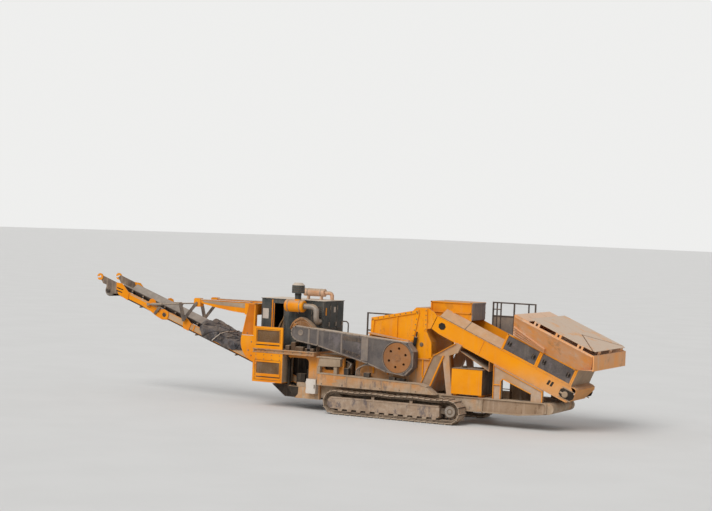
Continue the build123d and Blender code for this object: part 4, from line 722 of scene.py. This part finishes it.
LINK = [(-0.085, 0.012), (-0.05, 0.004), (0.05, 0.004), (0.085, 0.012), (0.085, 0.052), (0.055, 0.066),
    (-0.055, 0.066), (-0.085, 0.052)]
for word, sign in (("near", -1), ("far", 1)):
    links = Piece(f"track_links_{word}", "track_dark", 0.003)
    shoes = Piece(f"shoe_bolts_{word}", "track")
    joints = Piece(f"shoe_joints_{word}", "dark_joints_and_shade")
    middle = sign * TRACK_Y
    for n in range(SHOES):
        x, z, a = track_point((n + 0.5) * PITCH)
        x2, z2, a2 = track_point(n * PITCH)

        def local(p, y, q, x=x, z=z, a=a):
            return plant(x + p * cos(a) - q * sin(a), y, z + p * sin(a) + q * cos(a))

        links.place = joints.place = local
        for edge in (-1, 1):
            y = middle + edge * 0.095
            links.plate(LINK, *sorted((y, y + edge * (0.012 + (0.012 if n % 2 else 0.004)))))
            links.turned(plant(x2 - 0.036 * sin(a2), y, z2 + 0.036 * cos(a2)), (0, edge, 0),
                [(0, 0.024), (0.03, 0.024), (0.034, 0.018)], 10)
        for p in (-0.035, 0.04):
            for y in (-0.15, 0.15):
                shoes.turned(local(p, middle + y, -0.015), (sin(a), 0, -cos(a)),
                    [(0, 0.014), (0.011, 0.013)], 6)
        joints.block(0.5 * PITCH - 0.01, 0.5 * PITCH + 0.01, middle - 0.2515, middle + 0.2515,
            -0.0165, 0.002)
    links.done()
    shoes.done()
    joints.done()

pairs("track_guides", "track", 0.006, plant, 1.302, 1.338,
    *([(x - 0.075, 0.165), (x - 0.055, 0.1), (x + 0.055, 0.1), (x + 0.075, 0.165)]
    for x in (-1.66 + 0.29 * k for k in range(11))))
# Near-black strip behind the roller guards: painted shade between the guards.
pairs("track_hollow", "dark_joints_and_shade", 0.0, plant, 1.296, 1.3, box(-1.85, 1.36, 0.112, 0.165))
pairs("track_trim", "track_frame", 0.005, plant, 1.33, 1.342, [(-1.96, 0.45), (1.4, 0.45), (1.4, 0.5),
    (-1.98, 0.5)], box(-1.98, 1.4, 0.16, 0.2), box(1.375, 1.4, 0.16, 0.5))
trim = Piece("drive_trim", "steel", 0.003)
for sign in (-1, 1):
    out = (0, sign, 0)
    trim.turned(plant(SPROCKET_X, sign * 1.288, WHEEL_Z), out, [(0, 0.16), (0.02, 0.16), (0.03, 0.145)], 32)
    trim.turned(plant(SPROCKET_X, sign * 1.318, WHEEL_Z), out,
        [(0, 0.055), (0.012, 0.055), (0.016, 0.03)], 24)
    for x, z in circle(SPROCKET_X, WHEEL_Z, 0.128, 12):
        bolts.bolt(plant(x, sign * 1.306, z), out, 0.01)
trim.done()

# Crusher housing: flanges, ribs, ledge, rams and bolts
SIDE_Y = 0.8
HOUSING_FACE = 0.835
pairs("housing_ribs", "paint", 0.004, plant, SIDE_Y, HOUSING_FACE, [(-1.02, 2.7), (0.42, 3.0), (0.44, 3.09),
    (-1.03, 2.79)], [(-1.03, 2.32), (-0.95, 2.33), (-0.93, 2.74), (-1.03, 2.72)],
    box(-0.245, -0.205, 2.25, 2.86), [(0.17, 1.98), (0.26, 1.98), (0.46, 3.02), (0.37, 3.02)],
    [(0.6, 2.54), (0.7, 2.5), (0.7, 3.14), (0.63, 3.14)], [(0.78, 1.75), (0.88, 1.75), (0.86, 2.2),
    (0.7, 2.5), (0.62, 2.46), (0.76, 2.18)],
    *(box(x - 0.02, x + 0.02, 1.2, 1.7) for x in (-0.9, -0.45, 0.62)))
pairs("housing_ledge", "paint_dusty", 0.004, plant, SIDE_Y, 0.95, [(-1.05, 2.33), (0.2, 2.17), (0.2, 2.21),
    (-1.05, 2.37)])
rams = Piece("housing_rams", "black", smooth=True)
for y in (-0.88, 0.88):
    rams.turned(plant(0.36, y, 2.06), (0.18, 0, 1), [(0, 0.035), (0.02, 0.05), (0.26, 0.05), (0.28, 0.022),
        (0.42, 0.022)], 18)
rams.done()
for sign, out in ((-1, NEAR), (1, FAR)):
    for start, end, y, step, size in (((-0.98, 2.755), (0.38, 3.04), HOUSING_FACE, 0.17, 0.013),
            ((-1.45, 1.713), (-0.75, 1.713), 0.85, 0.16, 0.01), ((0.24, 2.05), (0.41, 2.98), HOUSING_FACE,
            0.16, 0.012), ((0.665, 2.56), (0.665, 3.08), HOUSING_FACE, 0.13, 0.011)):
        bolt_row(plant, start, end, sign * y, out, step, size)
    bolts.bolt(plant(0.55, sign * SIDE_Y, 2.12), out, 0.045, 0.03)

# Inlet hood: turned edges. Curtain: strips
pairs("hood_edges", "paint", 0.003, plant, 0.49, 0.52, box(0.65, 1.92, 3.32, 3.355),
    box(0.65, 1.92, 3.04, 3.07), *(box(x - 0.02, x + 0.02, 3.04, 3.35) for x in (0.68, 1.88)))
curtain = Piece("curtain_strips", "curtain", 0.002)
for k in range(10):
    y = -0.485 + 0.097 * k
    lean = 0.004 * draw.random()
    curtain.plate([(1.915, 2.87 + 0.01 * draw.random()), (1.925 + lean, 2.87), (1.925, 3.33),
        (1.915, 3.33)], y, y + 0.09)
curtain.block(1.915, 1.935, -0.49, 0.49, 3.3, 3.345)
curtain.done()

# Far walkways: screen plate below the rail, more posts, and the deck's rail
boxes("walkway_screen", "walk", 0.002, (1.8, 3.04, 1.412, 1.42, 2.34, 2.94))
boxes("walkway_posts", "rail", 0.003,
    *((x, x + 0.036, 1.402, 1.438, 2.34, 3.33) for x in (1.9, 2.02, 2.87)),
    (1.78, 2.06, 1.404, 1.436, 3.12, 3.15))
RAIL_FROM, RAIL_TO, RAIL_Y, DECK_Z = -4.3, -2.74, 1.2, 1.7
rail = Piece("deck_rail", "rail", smooth=True)
rail.tube([plant(RAIL_FROM, RAIL_Y, 2.12), plant(RAIL_TO, RAIL_Y, 2.12)], 0.019, 8)
rail.tube(rounded([plant(RAIL_FROM, RAIL_Y, DECK_Z), plant(RAIL_FROM, RAIL_Y, 2.5),
    plant(RAIL_TO, RAIL_Y, 2.5), plant(RAIL_TO, RAIL_Y, DECK_Z)], 0.1), 0.019, 8)
rail.tube([plant(-3.5, RAIL_Y, DECK_Z), plant(-3.5, RAIL_Y, 2.5)], 0.017, 8)
rail.done()

# Feeder: seams of the flared skirts, flanges, ports, tension gear and slots
BOX_FACES = [(0, 1, 3, 2), (4, 6, 7, 5), (0, 4, 5, 1), (2, 3, 7, 6), (0, 2, 6, 4), (1, 5, 7, 3)]


def flare(u, t, out, sign):
    """Point on the skirt's flare: t from its foot to its top, out square to it."""
    return feeder(u, sign * (SIDE_Y - 0.3 * t + out * 0.6), 0.252 + 0.223 * t + out * 0.8)


seams = Piece("flare_seams", "dark_joints_and_shade")
for sign in (-1, 1):
    for top, thick, ends in ((1.0, 0.006, (0.635, 0.655)), (0.05, 0.004, (-0.16, 1.82))):
        seams.add([flare(u, t, out, sign) for t in (0.0, top) for out in (0, thick)
            for u in ends], BOX_FACES)
seams.done()
pairs("feeder_flanges", "paint_feeder", 0.003, feeder, SIDE_Y, 0.812, box(0.0, 4.12, -0.21, -0.175),
    box(-0.24, 4.05, 0.228, 0.252), box(1.3, 1.315, -0.17, 0.23))
# Near-black plates for the ports: painted shade inside the ports.
pairs("feeder_hex_ports", "dark_joints_and_shade", 0.004, feeder, SIDE_Y, 0.806,
    [(0.115 * cos(t), 0.03 + 0.105 * sin(t)) for t in (tau * k / 7 + 0.3 for k in range(7))])
# The tension gear's recess is a near-black plate: painted shade.
recess = Piece("tension_recess", "dark_joints_and_shade", 0.004, place=feeder)
tension = Piece("tension_gear", "casting", 0.008, place=feeder)
for sign, y0, y1 in sides(SIDE_Y, 0.812):
    recess.plate([(3.84, -0.07), (3.9, -0.12), (4.2, -0.12), (4.27, -0.05), (4.27, 0.06), (4.2, 0.12),
        (3.9, 0.12), (3.84, 0.07)], y0, y1)
    for low in (0.125, -0.15):
        tension.block(3.86, 4.24, y0, y1 + (0.01 if sign > 0 else 0), low, low + 0.025)
    tension.turned(feeder(4.02, sign * SIDE_Y, -0.02), (0, sign, 0),
        [(0, 0.085), (0.05, 0.085), (0.06, 0.065)], 24)
    tension.tube([feeder(u, sign * 0.825, -0.02) for u in (3.86, 3.96)], 0.025, 10)
recess.done()
tension.done()
# Near-black plates for the slots: painted shade inside the slots.
pairs("feeder_slots", "dark_joints_and_shade", 0.002, feeder, SIDE_Y, 0.804,
    *([(u, -0.01), (u + 0.065, -0.01), (u + 0.085, 0.13), (u + 0.02, 0.13)] for u in (3.42, 3.52)))

# Hopper: cover frames with bolts, end panel, handles, folds and lip on the wings
COVERS, END_U = (1.9, 3.0), 4.07
trim = Piece("cover_frames", "paint_feeder", 0.003, place=feeder)
for sign, y0, y1 in sides(SIDE_Y, 0.81):
    for u in COVERS:
        trim.block(u - 0.05, u - 0.012, y0, y1, 0.26, 0.735)
        trim.block(u + 0.992, u + 1.03, y0, y1, 0.26, 0.735)
        for v in (0.32, 0.67):
            bolt_row(feeder, (u + 0.04, v), (u + 0.94, v), sign * 0.794, (0, sign, 0), 0.3, 0.01)
    trim.block(1.83, 4.05, y0, y1, 0.705, 0.735)
trim.done()
boxes("hopper_end_panel", "casting", 0.0005, (END_U, END_U + 0.002, -0.795, 0.795, 0.255,
    0.73), place=feeder)
pairs("cover_handles", "dark_joints_and_shade", 0.002, feeder, SIDE_Y, 0.834,
    *(box(u + a0, u + a1, b0, b1) for u in (place + shift for place in COVERS for shift in (0.11, 0.87))
    for a0, a1, b0, b1 in ((-0.047, -0.023, 0.44, 0.56), (0.023, 0.047, 0.44, 0.56),
    (-0.04, 0.04, 0.488, 0.512))))
WING_FOOT, WING_LIP = Vector((0.8, 0.735)), Vector((1.43, 1.37))


def wing(u, t, out, sign):
    """Point on the near or far wing: t from its foot to its lip, out square to it."""
    rise = WING_LIP - WING_FOOT
    y, v = WING_FOOT + rise * t + Vector((rise.y, -rise.x)).normalized() * out
    return feeder(u, sign * y, v)


ribs = Piece("wing_ribs", "hopper", 0.004)
for sign in (-1, 1):
    for k in range(4):
        ends = ((2.02, 0.1 + 0.13 * k), (3.02, 0.03 + 0.05 * k))
        corners = [wing(u, t + dt, out, sign) for dt in (0, 0.04) for out in (0, 0.05) for u, t in ends]
        ribs.add(corners, BOX_FACES)
    ribs.add([wing(u, t, out, sign) for t in (0.94, 1.0) for out in (0, 0.02)
        for u in (2.02, 4.44)], BOX_FACES)
ribs.done()

# Feeder supports: channel webs and flanges of the legs, edges of the plate supports
LEG_FLANGES = [[(0.505, 0.782), (0.53, 0.782), (0.985, 1.868), (0.96, 1.868)],
    [(0.8, 0.782), (0.845, 0.782), (1.3, 1.86), (1.255, 1.86)], [(0.94, 1.81), (1.276, 2.005), (1.63, 2.21),
    (1.63, 2.235), (1.276, 2.03), (0.94, 1.835)]]
PLATE_EDGES = [[(2.77, 0.785), (2.795, 0.785), (2.795, 1.7), (2.77, 1.73)],
    [(2.985, 0.785), (3.01, 0.785), (3.01, 1.28), (3.06, 1.33), (3.88, 0.99), (3.88, 1.015), (3.06, 1.358),
    (2.985, 1.29)], box(2.795, 2.985, 1.16, 1.19), [(4.195, 0.785), (4.22, 0.785), (4.22, 1.1),
    (4.195, 1.11)], [(2.795, 1.684), (4.195, 1.076), (4.195, 1.101), (2.795, 1.709)]]
pairs("leg_webs", "beam_web", 0.001, plant, 0.89, 0.893, [(0.54, 0.79), (0.79, 0.79), (1.24, 1.845),
    (0.99, 1.855)])
leg_flanges = Piece("leg_flanges", "paint_worn", 0.003)
leg_flanges.pair(0.89, 0.935, *LEG_FLANGES)
leg_flanges.pair(0.87, 0.905, *PLATE_EDGES)
leg_flanges.done()

# Tank: dark brown panel on its right face as grime and painted shade, lid and filler caps
boxes("tank_painted_shade", "grime_and_shade", 0.0005, (2.49, 2.492, -0.995, -0.125, 0.845, 1.535))
tank = Piece("tank_trim", "black", 0.004)
tank.block(1.57, 2.5, -1.01, -0.11, 1.54, 1.552)
tank.turned(plant(1.85, -0.7, 1.55), UP, [(0, 0.07), (0.05, 0.07), (0.06, 0.06)], 24)
tank.turned(plant(2.25, -0.5, 1.55), UP, [(0, 0.1), (0.02, 0.1), (0.03, 0.09)], 24)
tank.done()

# Gantry: edge flanges, darker orange mast panels as painted shade on the recessed webs, arm webs and tops,
# seams and bolts
MAST_Y = 1.01
pairs("gantry_trim", "paint", 0.004, plant, MAST_Y, 1.02, box(-4.74, -4.7, 1.75, 2.98),
    [(-4.95, 2.95), (-4.7, 2.95), (-4.7, 2.985), (-4.94, 2.985)],
    [(-5.125, 2.06), (-5.1, 2.06), (-4.915, 2.95), (-4.94, 2.95)])
# Darker orange plates over the mast's recessed webs: painted shade.
pairs("mast_painted_shade", "painted_shade_orange", 0.001, plant, MAST_Y, MAST_Y + 0.002,
    [(-5.1, 2.06), (-4.765, 2.06), (-4.745, 2.94), (-4.915, 2.94)])
pairs("arm_webs", "casting", 0.002, plant, 0.56, 0.566, [(-6.8, 2.945), (-6.74, 2.895), (-6.25, 2.845),
    (-5.15, 2.79), (-5.15, 2.945)])
pairs("arm_flanges", "pale", 0.003, plant, 0.43, 0.58, [(-6.84, 2.966), (-5.14, 2.976), (-5.14, 2.992),
    (-6.84, 2.982)])
pairs("mast_seams", "pale", 0.002, plant, MAST_Y, 1.014, box(-5.125, -4.7, 2.03, 2.05))
for sign, out in ((-1, NEAR), (1, FAR)):
    bolts.bolt(plant(-6.98, sign * 0.59, 2.86), out, 0.03, 0.03)
    for x, z in ((-4.8, 1.45), (-4.9, 1.6), (-4.8, 1.85), (-4.95, 2.1)):
        bolts.bolt(plant(x, sign * MAST_Y, z), out, 0.016)

# Conveyor: rollers under the belt, fold brackets and struts, pins and bearings, webs, stays and slits
FRAME_Y = 0.5
rollers = Piece("conveyor_rollers", "track_dark", smooth=True)
for s in (-4.1 + 0.42 * n for n in range(14)):
    rollers.tube([conveyor(s, y, 0.115) for y in (-0.14, 0.14)], 0.035, 12)
    for sign in (-1, 1):
        rollers.tube([conveyor(s, sign * 0.17, 0.125), conveyor(s, sign * 0.4, 0.28)], 0.03, 12)
for s in (-2.75, -1.25, 0.9):
    rollers.tube([conveyor(s, y, -0.056) for y in (-0.44, 0.44)], 0.022, 14)
rollers.done()
fold = Piece("fold_brackets", "paint", 0.003, place=conveyor)
for sign, y0, y1 in sides(FRAME_Y, 0.522):
    fold.plate([(-0.2, -0.01), (-0.02, -0.075), (0.2, -0.06), (0.46, 0.0), (0.8, 0.03), (0.8, 0.075),
        (-0.2, 0.075)], y0, y1)
    fold.plate([(0.34, 0.19), (0.64, 0.19), (0.6, 0.34), (0.52, 0.39), (0.42, 0.38), (0.36, 0.3)], y0, y1)
    fold.turned(conveyor(-0.05, sign * FRAME_Y, 0.1), (0, sign, 0),
        [(0, 0.145), (0.035, 0.145), (0.035, 0.08), (0.03, 0.075)], 28)
fold.done()
pairs("fold_struts", "link", 0.004, conveyor, 0.522, 0.55, [(0.235, -0.02), (0.325, -0.02), (0.225, 0.27),
    (0.135, 0.27)])
pins = Piece("conveyor_pins", "black", smooth=True)
for sign in (-1, 1):
    for s, y, n, profile, count in ((-0.05, 0.53, 0.1, [(0, 0.06), (0.02, 0.06), (0.03, 0.03)], 20),
            (2.13, FRAME_Y, -0.02, [(0.0, 0.075), (0.03, 0.075), (0.045, 0.05), (0.06, 0.05)], 24),
            (-4.74, FRAME_Y, -0.02, [(-0.02, 0.07), (0.03, 0.07), (0.05, 0.04)], 24)):
        pins.turned(conveyor(s, sign * y, n), (0, sign, 0), profile, count)
pins.done()
pairs("conveyor_webs", "web", 0.001, conveyor, FRAME_Y, 0.503, box(-4.98, -0.02, 0.044, 0.206),
    box(0.02, 1.34, 0.17, 0.206))
pairs("conveyor_stays", "paint", 0.002, conveyor, FRAME_Y, 0.516,
    *(box(s - 0.02, s + 0.02, 0.03, 0.22) for s in (-0.98, -1.16, -2.2, -3.4)))
# Near-black plates for the slits: painted shade inside the slits.
pairs("conveyor_slits", "dark_joints_and_shade", 0.0, conveyor, 0.52, 0.5225,
    *([(1.62, n), (1.84, n - 0.02), (1.86, n + 0.015), (1.62, n + 0.03)] for n in (0.11, 0.2)))

# Sheet over the conveyor: rumpled, lower towards its tail, tied down by a strap
COVER_FROM, COVER_TO = -1.36, -3.12
CREASES = ((1.9, 2.2, 2.4, 0.7, 5.0), (-2.8, 1.6, 3.4, 1.2, 9.0), (4.2, -2.6, 1.2, -1.6, 2.0),
    (2.4, 3.6, -3.2, 0.9, 12.0))
CREASE_WIDTH = 0.12


def cloth_point(along, across):
    """Point of the sheet: along runs from head to tail, across from near to far hem, 0 to 1."""
    sink = 0.06 * along
    hem = 0.03 + 0.25 * max(0.0, along - 0.72) / 0.28 + 0.14 * max(0.0, 0.12 - along) / 0.12
    half = [(0.522, hem), (0.545, 0.5 * hem + 0.17), (0.53, 0.355 - sink), (0.36, 0.46 - sink),
        (0.12, 0.455 - sink)]
    arch = [(-y, n) for y, n in half] + half[::-1]
    spot = across * (len(arch) - 1)
    k = min(int(spot), len(arch) - 2)
    t = spot - k
    y, n = (arch[k][0] * (1 - t) + arch[k + 1][0] * t, arch[k][1] * (1 - t) + arch[k + 1][1] * t)
    s = COVER_FROM + (COVER_TO - COVER_FROM) * along
    fold = noise.noise(Vector((s * 2.9, y * 3.4, n * 4.2)))
    small = noise.noise(Vector((s * 8.5 + 3, y * 9.5, n * 9.0 + 1)))
    creases = []
    for a, b, c, d, shift in CREASES:
        line = abs(noise.noise(Vector((s * a - abs(y) * b + n * c, y * 0.8 + s * d, shift))))
        creases.append(max(0.0, CREASE_WIDTH - line) / CREASE_WIDTH)
    push = 0.03 * fold + 0.014 * small - 0.05 * creases[0] + 0.025 * creases[2]
    push += 0.035 * (creases[1] + creases[3])
    outwards = Vector((y * 1.4, n - 0.15)).normalized()
    hang = 0.02 * sin(s * 9 + (1 if y > 0 else 4)) if n < 0.12 else 0.0
    side = min(0.6, abs(y + outwards.x * push))
    if n < 0.3:
        side = max(0.528, side)
    return conveyor(s, side if y > 0 else -side, n + max(-0.02, outwards.y * push) + 0.012 - hang)


cloth = Piece("conveyor_sheet", "cloth", smooth=True)
LONG, WIDE = 88, 72
SHEET_THICK, FOLDS = 0.004, 0.96
grid = [[cloth.bm.verts.new(cloth_point(i / LONG, j / WIDE)) for j in range(WIDE + 1)]
    for i in range(LONG + 1)]
for i in range(LONG):
    for j in range(WIDE):
        cloth.bm.faces.new((grid[i][j], grid[i + 1][j], grid[i + 1][j + 1], grid[i][j + 1]))
sheet = cloth.done()
thick = sheet.modifiers.new("thickness", "SOLIDIFY")
thick.thickness, thick.offset = SHEET_THICK, -1
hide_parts("dust_cover")
STRAP_POINTS = 40
strap = Piece("sheet_strap", "pale", 0.001)
path = []
for k in range(STRAP_POINTS + 1):
    along = 0.31 + 0.17 * min(1.0, min(k, STRAP_POINTS - k) / 14)
    inside = conveyor(COVER_FROM + (COVER_TO - COVER_FROM) * along, 0, 0.12)
    point = cloth_point(along, k / STRAP_POINTS)
    path.append(point + 0.012 * (point - inside).normalized())
strap.tube(path, 0.014, 6)
strap.done()

# Control box: handle
boxes("control_trim", "steel", 0.002, (-2.585, -2.57, -1.225, -1.19, 0.66, 0.77), body="door_control")
bolts.done()

# Stage, light and camera
scene = bpy.context.scene


def show(name, data):
    """Links a new object to the scene."""
    made = bpy.data.objects.new(name, data)
    scene.collection.objects.link(made)
    return made


mesh = bpy.data.meshes.new("stage_floor")
mesh.from_pydata([(-400, -400, 0), (400, -400, 0), (400, 900, 0), (-400, 900, 0)], [], [(0, 1, 2, 3)])
floor = show("stage_floor", mesh)
ground = Shader("floor")
ground.put(ground.surface.inputs["Base Color"], ground.blend(ground.span(ground.noise(0.4, 3), 0.3, 0.7),
    (0.66, 0.65, 0.63, 1), (0.64, 0.63, 0.61, 1)))
ground.surface.inputs["Roughness"].default_value = 0.9
mesh.materials.append(ground.material)

scene.world = bpy.data.worlds.new("studio")
scene.world.use_nodes = True
sky = Nodes(scene.world.node_tree)
rays = sky.node("LightPath").outputs
seen = sky.node("Math", [(0, rays["Is Camera Ray"]), (1, rays["Is Glossy Ray"])], operation="MAXIMUM")
clear = sky.node("Math", [(0, seen.outputs[0]), (1, rays["Is Transmission Ray"])], operation="MAXIMUM")
lit = sky.node("Background", [(0, (0.95, 0.97, 1.0, 1)), (1, 0.5)])
shown = sky.node("Background", [(0, (0.86, 0.86, 0.85, 1)), (1, 1.0)])
mixed = sky.node("MixShader", [(0, clear.outputs[0]), (1, lit.outputs[0]), (2, shown.outputs[0])])
sky.node("OutputWorld", [(0, mixed.outputs[0])])

for name, turn, energy, spread in (("key", (46, 0, -6), 1.9, 35), ("fill", (60, 0, -62), 0.35, 60)):
    lamp = bpy.data.lights.new(name, "SUN")
    lamp.energy, lamp.angle = energy, radians(spread)
    show(name, lamp).rotation_euler = [radians(a) for a in turn]

scene.view_settings.view_transform = "Standard"
CAMERA = Vector((19.611 + TRACK_X, -44.601, 5.318))
YAW, RISE, ROLL = radians(25.85), radians(0.93), radians(-2.36)
back = Vector((sin(YAW) * cos(RISE), -cos(YAW) * cos(RISE), sin(RISE)))
across = (-back).cross(Vector((0, 0, 1))).normalized()
down = (-back).cross(across)
right_axis = cos(ROLL) * across + sin(ROLL) * down
down_axis = -sin(ROLL) * across + cos(ROLL) * down
lens = bpy.data.cameras.new("photo_camera")
lens.sensor_width, lens.lens = 36.0, 85.96
lens.clip_start, lens.clip_end = 1.0, 2000.0
camera = show("photo_camera", lens)
turned = Matrix((right_axis, -down_axis, back)).transposed().to_4x4()
camera.matrix_world = Matrix.Translation(CAMERA) @ turned
scene.camera = camera

bpy.context.view_layer.update()
